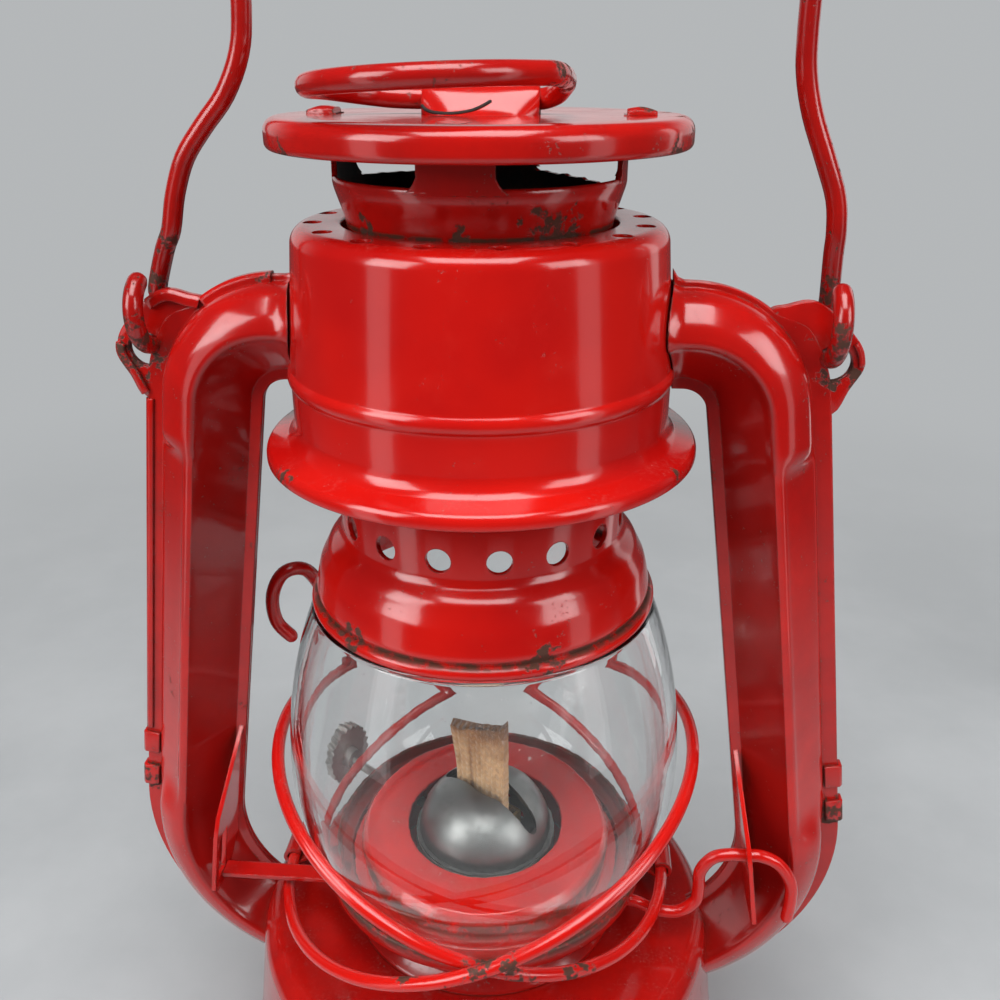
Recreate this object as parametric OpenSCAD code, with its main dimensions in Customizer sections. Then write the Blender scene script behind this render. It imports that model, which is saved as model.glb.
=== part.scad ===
// Small tubular lantern: fount, burner, two side tubes, lifting globe frame, sprung chimney and bail.
// The origin is the centre of the foot, +Z is up, -Y is the front and the globe lever is on +X.

/* [Sheet and wire] */
// Thickness of the pressed steel sheet
sheet = 0.8; // [0.6:0.1:1]
// Diameter of the bail wire
bail_wire_d = 3.2; // [2.6:0.1:3.6]
// Diameter of the guard ring wire
guard_wire_d = 2.3; // [1.8:0.1:2.6]
// Diameter of the lever wire
lever_wire_d = 2.5; // [2:0.1:2.8]
// Diameter of the hook wire behind the globe
hook_wire_d = 2.6; // [2:0.1:3]
// Diameter of the lift ring wire on the cap
ring_wire_d = 2.9; // [2.6:0.1:3.6]
// Gap between pieces that slide past or rest on each other
slide_gap = 0.3; // [0.2:0.05:0.5]
// Radial clearance of a shaft in its bore
shaft_gap = 0.06; // [0.02:0.01:0.1]

/* [Fount] */
// Radius of the foot
foot_r = 50; // [48:0.5:53]
// Height of the rolled foot bead
foot_bead_h = 3.2; // [2.4:0.2:4]
// Radius of the fount under its shoulder
shoulder_r = 44.2; // [43:0.2:46]
// Rounding of the shoulder
shoulder_round = 4; // [3:0.5:5]
// Height of the deck on top of the fount
deck_z = 53.5; // [50:0.5:60]
// Radius of the filler neck
filler_r = 5.6; // [5:0.1:6]
// Height of the filler neck over the deck
filler_neck_h = 3.4; // [3:0.1:3.6]

/* [Burner] */
// Angle of the wick slot from the X axis
wick_angle = -32; // [-40:1:-25]
// Width of the flat wick
wick_w = 12.7; // [11:0.1:14]
// Thickness of the flat wick
wick_t = 2.2; // [1.6:0.1:2.6]
// Height of the wick above the top of the burner cone
wick_proud = 12; // [8:0.5:14]
// Radius of the burner cone
cone_r = 12.8; // [12:0.2:13.4]
// Height of the burner cone
cone_h = 11; // [10:0.2:13]
// Radius of the burner basket
basket_r = 13.6; // [13.4:0.1:14]
// Height of the burner basket
basket_h = 12; // [11:0.5:13]
// Radius of the wick feed wheels
wheel_r = 4; // [3.4:0.1:4.4]
// Radius of the wick shaft
shaft_r = 1; // [0.8:0.1:1.2]
// Radius of the wick knob
knob_r = 7.5; // [6:0.5:8.5]

/* [Globe frame] */
// Height of the air bell under the globe plate
bell_h = 10.7; // [10:0.1:12]
// Width of the globe plate outside the foot of the globe
plate_margin = 3.2; // [3:0.1:4]
// Height of the raised ring inside the globe
plate_ring_h = 8.2; // [7:0.2:10]
// Gap between the raised ring and the inside of the globe
plate_ring_gap = 1.2; // [0.8:0.1:1.6]
// Radius of the hole round the burner cone
plate_hole_r = 15; // [14.6:0.1:16]
// Height of the glass globe
globe_h = 57.2; // [54:0.2:60]
// Height of the widest place over the foot of the globe
globe_wide_h = 24.8; // [23:0.2:27]
// Largest radius of the glass globe
globe_r = 35.6; // [35:0.1:36]
// Radius of the globe at its foot
globe_foot_r = 27.6; // [27.2:0.1:28.4]
// Radius of the globe at its mouth
globe_mouth_r = 29.1; // [28.4:0.1:30]
// Wall of the glass globe
glass_t = 1.8; // [1.4:0.1:2.2]
// Tilt of the two guard rings
guard_tilt = 23; // [20:1:25]
// Gap between the widest place of the globe and the inner guard ring
guard_gap = 2.45; // [2.3:0.05:3]
// Lift of the globe frame
globe_lift = 8; // [6:0.5:8]

/* [Side tubes] */
// Width of a tube over its two seam flanges
tube_w = 19; // [18:0.2:20]
// Depth of each pressed tube half
tube_depth = 8.2; // [7.4:0.2:8.6]
// Width of the outer seam flange
outer_flange = 2.8; // [2.4:0.1:3.2]
// Width of the inner seam flange
inner_flange = 1.9; // [1.5:0.1:2.2]
// Distance of the pressed ridge from the outer seam edge
ridge_u = 12; // [11:0.2:12.6]
// Outward splay of the tube legs
tube_splay = 8.6; // [7.6:0.2:9.4]
// Distance of the elbow centre from the axis
elbow_x = 31.5; // [31:0.1:33]
// Radius of the outer seam round the elbow
elbow_r = 23.1; // [22.6:0.1:24]
// Radius of the outer seam round the lower bend
bend_r = 40; // [39:0.5:42]
// Height of the lower bend centre over the deck
bend_rise = 16.6; // [15.6:0.2:17.6]
// Radius of the bail hole in each ear
ear_hole_r = 2.8; // [2.6:0.1:3]
// Reach of each ear past the outer seam
ear_reach = 5.6; // [5:0.2:6.4]

/* [Dome and chimney] */
// Height of the dome
dome_h = 35; // [33:0.5:38]
// Radius of the dome at its top
dome_top_r = 28; // [27.6:0.1:28.4]
// Radius of the dome above its flared skirt
dome_low_r = 29.5; // [29.2:0.1:30]
// Radius of the flared skirt
skirt_r = 34.2; // [33.4:0.2:35]
// Height of the flared skirt
skirt_h = 5.8; // [5:0.2:7]
// Number of vent holes in the top of the dome
vent_count = 16; // [12:1:20]
// Height from the foot of the collar to the skirt of the dome
collar_drop = 27.2; // [26:0.2:30]
// Radius of the perforated neck of the collar
collar_neck_r = 23.3; // [22.8:0.1:23.8]
// Number of holes round the collar
collar_holes = 16; // [10:1:18]
// Radius of each collar hole
collar_hole_r = 1.95; // [1.6:0.05:2.4]
// Radius of the chimney tube
chimney_r = 19.4; // [18.8:0.1:19.8]
// Radius of the chimney lip under the cap
neck_r = 21.3; // [20.8:0.1:21.8]
// Radius of the cap
cap_r = 30.3; // [29.6:0.1:31]
// Depth of the cap rim
cap_h = 4.3; // [3.6:0.1:5]
// Height of the window between chimney lip and cap
window_h = 3.6; // [3:0.1:4.4]
// Width of each chimney post
post_w = 11; // [8:0.2:12]
// Turns of the chimney spring
spring_turns = 6; // [5:1:7]
// Diameter of the chimney spring wire
spring_wire_d = 1.6; // [1.2:0.1:1.8]

/* [Bail] */
// Radius of the eye at each end of the bail wire
eye_r = 5.4; // [5.2:0.1:6]
// Height of the bail arch over the ear holes
bail_rise = 94; // [90:1:110]

/* [Hidden] */
$fn = 64;
enamel = "#b3140f";
dark_steel = "#5a5552";
bright_steel = "#a9a9a6";
brass = "#b08d4a";

// Heights from the foot upwards
seat_gap = 0.2;
plate_z = deck_z + bell_h + seat_gap;
globe_z = plate_z + sheet;
globe_top_z = globe_z + globe_h;
collar_z = globe_top_z + 2 * seat_gap;
skirt_z = collar_z + collar_drop;
dome_top_z = skirt_z + dome_h;
lip_rise = 6.6;
lip_z = dome_top_z + lip_rise;
cap_z = lip_z + window_h;
cap_top_z = cap_z + cap_h;

// Radii that follow the globe
plate_r = globe_foot_r + plate_margin;
plate_ring_r = globe_foot_r - glass_t - plate_ring_gap;
guard_left_r = globe_r + guard_wire_d / 2 + guard_gap;
guard_right_r = guard_left_r + guard_wire_d + 0.1;
collar_r = globe_mouth_r + seat_gap;

// Points of an arc from angle a to angle b, in degrees
function arc(centre, r, a, b, n = 8) =
    [for (i = [0 : n]) centre + r * [cos(a + (b - a) * i / n), sin(a + (b - a) * i / n)]];

// A smooth curve through the given points, with a number of steps for each span
function spline(p, steps) = let (last = len(p) - 1) concat(
    [for (i = [0 : last - 1], k = [0 : steps - 1])
        let (a = p[max(i - 1, 0)], b = p[i], c = p[i + 1], d = p[min(i + 2, last)], t = k / steps)
        0.5 * (2 * b + (c - a) * t + (2 * a - 5 * b + 4 * c - d) * t * t
            + (3 * b - a - 3 * c + d) * t * t * t)],
    [p[last]]);
function reversed(p) = [for (i = [len(p) - 1 : -1 : 0]) p[i]];
function unit(v) = v / norm(v);
function tangent(p, i) = unit(p[min(i + 1, len(p) - 1)] - p[max(i - 1, 0)]);
function square_to(v, t) = unit(v - (v * t) * t);

// A round wire along a path, as one closed tube
module wire(path, d, sides = 10) {
    count = len(path);
    first = square_to(abs(tangent(path, 0)[2]) < 0.9 ? [0, 0, 1] : [0, 1, 0], tangent(path, 0));
    normals = [for (i = 0, v = first; i < count; i = i + 1,
        v = i < count ? square_to(v, tangent(path, i)) : v) v];
    points = [for (i = [0 : count - 1], k = [0 : sides - 1])
        let (t = tangent(path, i), n = normals[i], b = cross(t, n), a = 360 * k / sides)
        path[i] + d / 2 * (cos(a) * n + sin(a) * b)];
    skin = [for (i = [0 : count - 2], k = [0 : sides - 1])
        let (a = i * sides + k, b = i * sides + (k + 1) % sides)
        each [[a, a + sides, b], [b, a + sides, b + sides]]];
    start_cap = [for (k = [1 : sides - 2]) [0, k, k + 1]];
    end_first = (count - 1) * sides;
    end_cap = [for (k = [1 : sides - 2]) [end_first, end_first + k + 1, end_first + k]];
    polyhedron(points, concat(skin, start_cap, end_cap));
}

module turned(points) rotate_extrude() polygon(points);
module ring(r_in, r_out, z, h) translate([0, 0, z]) difference() {
    cylinder(r = r_out, h = h);
    translate([0, 0, -1]) cylinder(r = r_in, h = h + 2);
}

// Fount

shoulder_z = deck_z - shoulder_round;
function fount_side(t) = concat([[foot_r - t, foot_bead_h], [shoulder_r - t, shoulder_z]],
    arc([shoulder_r - shoulder_round, shoulder_z], shoulder_round - t, 10, 90));
seat_r = basket_r - 0.4;
bead_proud = 0.6;
bead_w = 2;
duct_w = 17;
duct_top_z = deck_z - 4.5;
duct_floor_z = deck_z - 17.5;
filler_inset = 0.6;
filler_y = shoulder_r - shoulder_round - filler_r - filler_inset;

// The fount as a solid block, shrunk by t on every side
module fount_block(t) turned(concat([[0, foot_bead_h]], fount_side(t), [[0, deck_z - t]]));

module fount_body() color(enamel) difference() {
    turned(concat([[foot_r - bead_w, 0], [foot_r, 0]],
        arc([foot_r - 0.9, foot_bead_h / 2], 0.9 + bead_proud, -60, 60), fount_side(0),
        [[seat_r, deck_z], [seat_r, deck_z - sheet]],
        reversed(fount_side(sheet)), [[foot_r - bead_w, foot_bead_h]]));
    for (side = [-1, 1])
        translate([side * shoulder_r, 0, (port_low_z + port_high_z) / 2])
            cube([2 * shoulder_round + 6, port_w, port_high_z - port_low_z], center = true);
    translate([0, filler_y, deck_z - 5]) cylinder(r = filler_r, h = 10);
}
port_low_z = deck_z - 12;
port_high_z = deck_z - 5.5;
port_w = 7.6;

base_r = foot_r - sheet - slide_gap;
base_step_r = foot_r - 8;
base_step_h = 1.2;
module fount_base() color(enamel) turned([[0, foot_bead_h + base_step_h],
    [base_step_r - 2, foot_bead_h + base_step_h], [base_step_r, foot_bead_h], [base_r, foot_bead_h],
    [base_r, foot_bead_h + sheet], [base_step_r + 0.4, foot_bead_h + sheet],
    [base_step_r - 1.6, foot_bead_h + base_step_h + sheet], [0, foot_bead_h + base_step_h + sheet]]);

// A flat cross duct under the deck, which leads the air of both tubes to the burner
module air_duct() color(bright_steel) difference() {
    union() {
        intersection() {
            translate([-foot_r, -duct_w / 2, duct_floor_z])
                cube([2 * foot_r, duct_w, duct_top_z - duct_floor_z]);
            fount_block(sheet);
        }
        translate([0, 0, duct_top_z]) cylinder(r = seat_r + sheet, h = deck_z - sheet - duct_top_z);
    }
    translate([-foot_r - 1, -duct_w / 2 + sheet, duct_floor_z + sheet])
        cube([2 * foot_r + 2, duct_w - 2 * sheet, duct_top_z - duct_floor_z - 2 * sheet]);
    translate([0, 0, duct_top_z - 2 * sheet]) cylinder(r = seat_r, h = deck_z);
    wick_block(tube_out_w, tube_out_t, duct_floor_z - 1, duct_floor_z + 5);
}

filler_wall = 1;
filler_cap_r = filler_r + slide_gap + filler_wall;
gasket_t = 0.9;
cap_inner_z = deck_z + filler_neck_h + gasket_t + 0.1;
cap_skirt_z = deck_z + 0.6;
cap_crown_h = 0.6;
module filler_neck() color(brass) translate([0, filler_y, 0])
    ring(filler_r - filler_wall, filler_r, deck_z - 3, filler_neck_h + 3);
module filler_gasket() color("#3c3733") translate([0, filler_y, deck_z + filler_neck_h])
    cylinder(r = filler_r - 0.2, h = gasket_t);
module filler_cap() color(enamel) translate([0, filler_y, 0]) difference() {
    union() {
        translate([0, 0, cap_skirt_z]) linear_extrude(cap_inner_z + cap_crown_h - cap_skirt_z)
            knurl(filler_cap_r, 0.5, 24);
        translate([0, 0, cap_inner_z + cap_crown_h])
            cylinder(r1 = filler_cap_r - 0.5, r2 = filler_cap_r - 2.2, h = 1);
    }
    translate([0, 0, cap_skirt_z - 1]) cylinder(r = filler_r + slide_gap, h = cap_inner_z - cap_skirt_z + 1);
}
// A disc with rounded grips round its edge
module knurl(r, depth, count) polygon([for (i = [0 : 4 * count - 1])
    let (a = 90 * i / count, q = i % 4 < 2 ? r : r - depth) q * [cos(a), sin(a)]]);

// Burner

basket_z = deck_z + 4;
cone_z = basket_z + basket_h;
wick_top_z = cone_z + cone_h + wick_proud;
tube_slack = 0.25;
tube_wall = 0.6;
tube_out_w = wick_w + 2 * tube_slack + 2 * tube_wall;
tube_out_t = wick_t + 2 * tube_slack + 2 * tube_wall;
tube_low_z = 24;
tube_top_z = cone_z + cone_h - 5;
shaft_z = deck_z + 6;
shaft_y = wick_t / 2 + 0.1 + wheel_r;
knob_x = foot_r - 2.5;
knob_t = 3.4;
wheel_w = 2;
wheel_x = 3.4;

// Turns a piece from the wick's own frame, where X runs along the slot
module along_wick() rotate([0, 0, wick_angle]) children();
module wick_block(w, t, low, high) along_wick() translate([-w / 2, -t / 2, low]) cube([w, t, high - low]);
module shaft_bore() along_wick() translate([0, shaft_y, shaft_z]) rotate([0, -90, 0])
    cylinder(r = shaft_r + shaft_gap, h = foot_r);

module burner_collar() color(brass) turned([[seat_r - 1, deck_z - 3], [seat_r, deck_z - 3], [seat_r, deck_z],
    [seat_r + 2.2, deck_z], [seat_r + 2.2, deck_z + 1.4], [seat_r + 0.4, deck_z + 2],
    [seat_r + 0.4, basket_z], [seat_r - 1, basket_z]]);

module burner_basket() color(bright_steel) difference() {
    union() {
        ring(basket_r - sheet, basket_r, basket_z, basket_h);
        translate([0, 0, basket_z]) cylinder(r = basket_r, h = sheet);
        ring(cone_r - 2, basket_r, cone_z - sheet, sheet);
    }
    wick_block(tube_out_w, tube_out_t, basket_z - 1, basket_z + 3);
    for (row = [0, 1], i = [0 : 11])
        rotate([0, 0, 30 * i + 15 * row]) translate([basket_r - 2 * sheet, 0, basket_z + 4.6 + 3.6 * row])
            rotate([0, 90, 0]) cylinder(r = 1, h = 4 * sheet);
    along_wick() for (x = [-3, 3]) translate([x, -6, basket_z - 1]) cylinder(r = 1.2, h = 4);
    wheel_room();
    shaft_bore();
}
// Room for the feed wheels where they reach through the basket floor and the wick tube
module wheel_room() along_wick() for (x = [-wheel_x, wheel_x])
    translate([x, shaft_y, shaft_z]) rotate([0, 90, 0])
        cylinder(r = wheel_r + slide_gap, h = wheel_w + 2 * slide_gap, center = true);

slot_w = wick_t + 2.6;
module burner_cone() color("#b9bab8") difference() {
    turned(concat([[cone_r + 0.6, cone_z], [cone_r + 0.6, cone_z + sheet / 2]],
        [for (a = [0 : 7.5 : 90]) [cone_r * cos(a), cone_z + sheet / 2 + (cone_h - sheet / 2) * sin(a)]],
        [for (a = [90 : -7.5 : 0]) [(cone_r - sheet) * cos(a), cone_z + (cone_h - sheet) * sin(a)]]));
    along_wick() translate([-cone_r * 0.8, -slot_w / 2, cone_z + cone_h * 0.45])
        cube([cone_r * 1.6, slot_w, cone_h]);
}

module wick_tube() color(brass) difference() {
    wick_block(tube_out_w, tube_out_t, tube_low_z, tube_top_z);
    wick_block(wick_w + 2 * tube_slack, wick_t + 2 * tube_slack, tube_low_z - 1, tube_top_z + 1);
    wheel_room();
}
wick_low_z = foot_bead_h + 15;
module wick() color("#b58a5c") wick_block(wick_w, wick_t, wick_low_z, wick_top_z);
module wick_shaft() color(dark_steel) along_wick() translate([wheel_x + wheel_w + 1, shaft_y, shaft_z])
    rotate([0, -90, 0]) cylinder(r = shaft_r, h = knob_x + wheel_x + wheel_w + 1);
module wick_wheels() color(brass) along_wick() for (x = [-wheel_x, wheel_x])
    translate([x, shaft_y, shaft_z]) rotate([0, 90, 0]) linear_extrude(wheel_w, center = true) difference() {
        polygon([for (i = [0 : 23]) (i % 2 == 0 ? wheel_r : wheel_r - 0.8) * [cos(15 * i), sin(15 * i)]]);
        circle(r = shaft_r);
    }
module wick_knob() color(brass) along_wick() translate([-knob_x, shaft_y, shaft_z]) rotate([0, -90, 0])
    difference() {
        union() {
            linear_extrude(knob_t) knurl(knob_r, 0.6, 22);
            translate([0, 0, -2.4]) cylinder(r = 2.6, h = 2.4);
        }
        translate([0, 0, -3]) cylinder(r = shaft_r, h = 3);
        translate([0, 0, knob_t - 0.8]) ring(2, knob_r - 1.8, 0, 2);
    }

// The bell keeps clear of the filler cap on the deck
bell_gap = 1.1;
bell_waist = 2.4;
bell_flare = 0.6;
bell_foot_r = filler_y - filler_cap_r - bell_gap;
bell_waist_r = bell_foot_r - bell_waist;
bell_top_r = bell_foot_r + bell_flare;
module air_bell() color(enamel) difference() {
    turned([[bell_waist_r - 1, deck_z], [bell_foot_r, deck_z], [bell_foot_r, deck_z + sheet],
        [bell_waist_r, deck_z + 2.6], [bell_waist_r, deck_z + bell_h - 2.4],
        [bell_top_r, deck_z + bell_h - sheet], [bell_top_r, deck_z + bell_h],
        [bell_waist_r - 1, deck_z + bell_h]]);
    for (i = [0 : 17]) rotate([0, 0, 20 * i + 7]) translate([bell_waist_r - 3, 0, deck_z + bell_h / 2])
        rotate([0, 90, 0]) cylinder(r = 1.5, h = 6);
    shaft_bore();
}

// Globe frame

guard_right_c = [0, 0, plate_z + 12.7];
guard_left_c = [-1.5, 0, plate_z + 13.8];
guard_low_left = guard_right_c - guard_right_r * [cos(guard_tilt), 0, sin(guard_tilt)];
guard_low_right = guard_left_c + guard_left_r * [cos(guard_tilt), 0, -sin(guard_tilt)];
guard_slack = 0.1;
lug_w = 6;
lug_r = guard_wire_d / 2 + 1;

module guard_ring(centre, r, tilt, wire_d) translate(centre) rotate([0, tilt, 0])
    rotate_extrude() translate([r, 0]) circle(d = wire_d, $fn = 24);
module left_ring(slack) guard_ring(guard_left_c, guard_left_r, guard_tilt, guard_wire_d + slack);
module right_ring(slack) guard_ring(guard_right_c, guard_right_r, -guard_tilt, guard_wire_d + slack);
module guard_ring_left() color(enamel) left_ring(0);
module guard_ring_right() color(enamel) right_ring(0);

// A curled lug that carries the low end of a guard ring, from the rim of the plate
module lug(low) mirror([low[0] < 0 ? 1 : 0, 0, 0]) {
    curl = [abs(low[0]), 0, low[2]];
    rim = [plate_r - 1.2, 0, plate_z];
    reach = curl - rim;
    translate([curl[0], -lug_w / 2, curl[2]]) rotate([-90, 0, 0]) cylinder(r = lug_r, h = lug_w, $fn = 32);
    translate(rim) rotate([0, -atan2(reach[2], reach[0]), 0]) translate([0, -lug_w / 2, 0])
        cube([norm(reach), lug_w, sheet]);
}

// A tongue of the plate reaches through the slot of the left guide, so the frame can't turn
tongue_v = tube_depth + 0.8;
tongue_w = 3.4;
lip_h = 3.4;
ring_top_z = plate_z + plate_ring_h;
module globe_plate() color(enamel) difference() {
    tongue_end = leaf_point(plate_z)[0] + 2.4;
    union() {
        turned([[plate_hole_r, ring_top_z - sheet], [plate_ring_r - 1.6, ring_top_z - sheet],
            [plate_ring_r - sheet, ring_top_z - 2], [plate_ring_r - sheet, plate_z], [plate_r - 0.6, plate_z],
            [plate_r, plate_z + 0.6], [plate_r, plate_z + lip_h], [plate_r - sheet, plate_z + lip_h],
            [plate_r - sheet, plate_z + sheet], [plate_ring_r, plate_z + sheet],
            [plate_ring_r, ring_top_z - 1.4], [plate_ring_r - 1.2, ring_top_z], [plate_hole_r, ring_top_z]]);
        lug(guard_low_left);
        lug(guard_low_right);
        translate([-tongue_end, -tongue_v - tongue_w, plate_z])
            cube([tongue_end - globe_foot_r + 1.5, tongue_w, sheet]);
    }
    left_ring(guard_slack);
    right_ring(guard_slack);
}

// Side of the globe: a lower and an upper arc that meet upright at the widest height
globe_wide_z = globe_z + globe_wide_h;
function bulge(r_end, rise) = let (sag = globe_r - r_end) (rise * rise + sag * sag) / (2 * sag);
function globe_side(t, n = 9) = let (low = globe_wide_z - globe_z, high = globe_top_z - globe_wide_z,
        low_r = bulge(globe_foot_r, low), high_r = bulge(globe_mouth_r, high)) concat(
    [for (i = [0 : n]) let (a = -asin(low / low_r) * (1 - i / n))
        [globe_r - low_r + (low_r - t) * cos(a), globe_wide_z + low_r * sin(a)]],
    [for (i = [1 : n]) let (a = asin(high / high_r) * i / n)
        [globe_r - high_r + (high_r - t) * cos(a), globe_wide_z + high_r * sin(a)]]);
module globe() color([0.9, 0.95, 0.95, 0.35]) turned(concat(globe_side(0), reversed(globe_side(glass_t))));

// The hook stands on the left guard ring and curls out beside the collar
hook_a = 150;
hook_foot = guard_left_c + guard_left_r * [cos(hook_a) * cos(guard_tilt), sin(hook_a),
    -cos(hook_a) * sin(guard_tilt)] + [0, 0, guard_wire_d / 2 + 0.4];
hook_route = [[0, 0, 0], [0.9, -2, 7], [1, -4, 14], [0, -7.4, 22], [-2.1, -9.4, 26.4], [-5.6, -11, 26.2],
    [-7.9, -11.6, 21.6], [-7.5, -12, 16.4], [-5, -12, 13.2]];
module hook_wire() color(enamel) wire(spline([for (p = hook_route) hook_foot + p], 3), hook_wire_d, 8);

// Side tubes

leg_n = [cos(tube_splay), sin(tube_splay)];
leg_d = [sin(tube_splay), -cos(tube_splay)];
elbow_z = skirt_z + 5.7;
bend_z = deck_z + bend_rise;
leg_top = [elbow_x, elbow_z] + elbow_r * leg_n;
leg_len = (leg_top[1] - bend_z - bend_r * sin(tube_splay)) / cos(tube_splay);
bend_c = leg_top + leg_len * leg_d - bend_r * leg_n;
bend_end = 72;
stub_len = 12;
elbow_tail = 9;
bend_swell = 0.5;
run_lap = 0.1;
flange_lap = 0.05;
body_end = tube_w - inner_flange;

// Outer edge of a pressed half, from the outer flange to the inner one:
// u inward from the seam edge, v out of the seam plane
leg_edge = [[outer_flange, sheet], [outer_flange + 1.2, sheet + 1.6], [ridge_u - 2, tube_depth - 0.9],
    [ridge_u - 0.8, tube_depth - 0.2], [ridge_u, tube_depth], [ridge_u + 0.8, tube_depth - 0.3],
    [ridge_u + 1.7, tube_depth - 1.4], [body_end - 0.6, sheet + 1], [body_end, sheet]];
bend_edge = [[outer_flange, sheet], [outer_flange + 0.9, sheet + 2.4], [outer_flange + 2, tube_depth - 2.4],
    [outer_flange + 3.6, tube_depth - 0.6], [outer_flange + 5.4, tube_depth + 0.2],
    [ridge_u, tube_depth + bend_swell],
    [ridge_u + 1.4, tube_depth - 0.3], [ridge_u + 2.4, tube_depth - 2], [body_end - 0.5, sheet + 1.4],
    [body_end, sheet]];
// The stub's outer edge lies a lap inside that of the elbow
stub_edge = [for (p = bend_edge)
    [p[0] + flange_lap * sign(ridge_u - p[0]), p[1] > sheet ? p[1] - flange_lap : p[1]]];
// Inner edge of a half whose sheet is thinner by a given amount
function inside(edge, thin) = [for (p = edge)
    [p[0] + (0.75 * sheet - thin) * sign(ridge_u - p[0]), p[1] > sheet ? p[1] - sheet + thin : 0]];
// A pressed half as a solid or as a sheet; the bends are wider by a lap, so that leg and stub end inside them
function half_block(edge, lap) = concat([[-lap, 0], [-lap, sheet]], edge,
    [[tube_w + lap, sheet], [tube_w + lap, 0]]);
function half_shell(edge, lap, thin) = concat(half_block(edge, lap), reversed(inside(edge, thin)));
function from_centre(r, section) = [for (p = section) [r - p[0], p[1]]];

// Frame with X along the seam's outward normal, Y up the leg and Z to the front
module leg_frame() translate([elbow_x, 0, elbow_z]) rotate([90, 0, 0]) rotate([0, 0, tube_splay]) children();
module bend_frame(angle) translate([bend_c[0], 0, bend_c[1]]) rotate([90, 0, 0]) rotate([0, 0, angle])
    children();
module leg_run(section, length) leg_frame() rotate([90, 0, 0]) linear_extrude(length)
    polygon(from_centre(elbow_r, section));

// Path of the right tube's front half: stub, elbow, leg and lower bend
module tube_path(stub_section, bend_section, leg_section) {
    translate([elbow_x + run_lap, 0, elbow_z]) rotate([90, 0, -90]) linear_extrude(stub_len)
        polygon([for (p = stub_section) [p[1], elbow_r - p[0]]]);
    leg_frame() rotate_extrude(angle = 90 - tube_splay) polygon(from_centre(elbow_r, bend_section));
    leg_run(bend_section, elbow_tail);
    leg_run(leg_section, leg_len + run_lap);
    bend_frame(-bend_end) rotate_extrude(angle = bend_end + tube_splay)
        polygon(from_centre(bend_r, bend_section));
}
module dome_block() turned(concat([[0, skirt_z]], dome_side(0), [[0, dome_top_z]]));

// Ear in the seam plane, round the bail hole, in polar steps about the elbow centre
ear_a = 21;
ear_hole_at = elbow_r + 0.9;
ear_centre = [elbow_x, elbow_z] + ear_hole_at * [cos(ear_a), sin(ear_a)];
function ear_point(r, a) = [elbow_x, elbow_z] + r * [cos(a), sin(a)];
ear_outline = [ear_point(elbow_r - 1, 2), ear_point(elbow_r + 0.2, 1), ear_point(elbow_r + 2.6, 10),
    ear_point(elbow_r + ear_reach - 0.4, 17), ear_point(elbow_r + ear_reach, 22),
    ear_point(elbow_r + ear_reach - 0.8, 30), ear_point(elbow_r + 3.2, 41), ear_point(elbow_r + 1.4, 48),
    ear_point(elbow_r, 54), ear_point(elbow_r - 1, 53)];
module ear() rotate([90, 0, 0]) linear_extrude(sheet) polygon(ear_outline);
module ear_hole() translate([ear_centre[0], 5, ear_centre[1]]) rotate([90, 0, 0])
    cylinder(r = ear_hole_r, h = 10);

module tube_half() difference() {
    union() {
        tube_path(half_shell(stub_edge, 0, 2 * flange_lap), half_shell(bend_edge, flange_lap, 0),
            half_shell(leg_edge, 0, flange_lap));
        difference() {
            ear();
            leg_frame() cylinder(r = elbow_r - outer_flange, h = 50, center = true);
        }
    }
    ear_hole();
    fount_block(0);
    dome_block();
}

// Tabs of the rear half that are folded round the flange of the front half
clip_len = 4.6;
clip_at = [leg_len - 13, leg_len - 5];
module seam_clips() for (s = clip_at) leg_frame() translate([elbow_r, -s - clip_len, 0]) {
    translate([0, 0, -sheet]) cube([sheet, clip_len, 3 * sheet]);
    translate([sheet - outer_flange + 0.4, 0, sheet]) cube([outer_flange - 0.4, clip_len, sheet]);
}
// Hem of the rear half folded over the front flange, along the top of the elbow from the ear to the dome
hem_start = 56;
hem_turn = 29;
module elbow_hem() leg_frame() rotate([0, 0, hem_start - tube_splay]) rotate_extrude(angle = hem_turn) {
    translate([elbow_r + flange_lap, -sheet]) square([sheet, 3 * sheet]);
    translate([elbow_r - outer_flange + 1, sheet]) square([outer_flange - 1 + sheet, sheet]);
}

module right_tube_front() color(enamel) tube_half();
module right_tube_rear() color(enamel) {
    mirror([0, 1, 0]) tube_half();
    seam_clips();
}
module left_tube_front() color(enamel) mirror([1, 0, 0]) tube_half();
module left_tube_rear() color(enamel) mirror([1, 0, 0]) {
    mirror([0, 1, 0]) tube_half();
    seam_clips();
    elbow_hem();
}

// Brackets on the inner seam and the lever

lever_y = tube_depth + bend_swell + lever_wire_d / 2 + slide_gap + 0.2;
leaf_u = tube_w - 1.3;
pivot_z = plate_z + 10.9;

// How far down the leg a height lies on the leaf, and the leaf's place there
function leaf_s(z) = (leg_top[1] - z - leaf_u * leg_n[1]) / cos(tube_splay);
function leaf_point(z) = leg_top + leaf_s(z) * leg_d - leaf_u * leg_n;
leaf_top = leg_len - 18;
leaf_low = leaf_s(plate_z) + 4;
leaf_reach = lever_y + lever_wire_d / 2 + 2.4;
pivot_s = leaf_s(pivot_z);
pivot = leaf_point(pivot_z) - sheet / 2 * leg_n;

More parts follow.
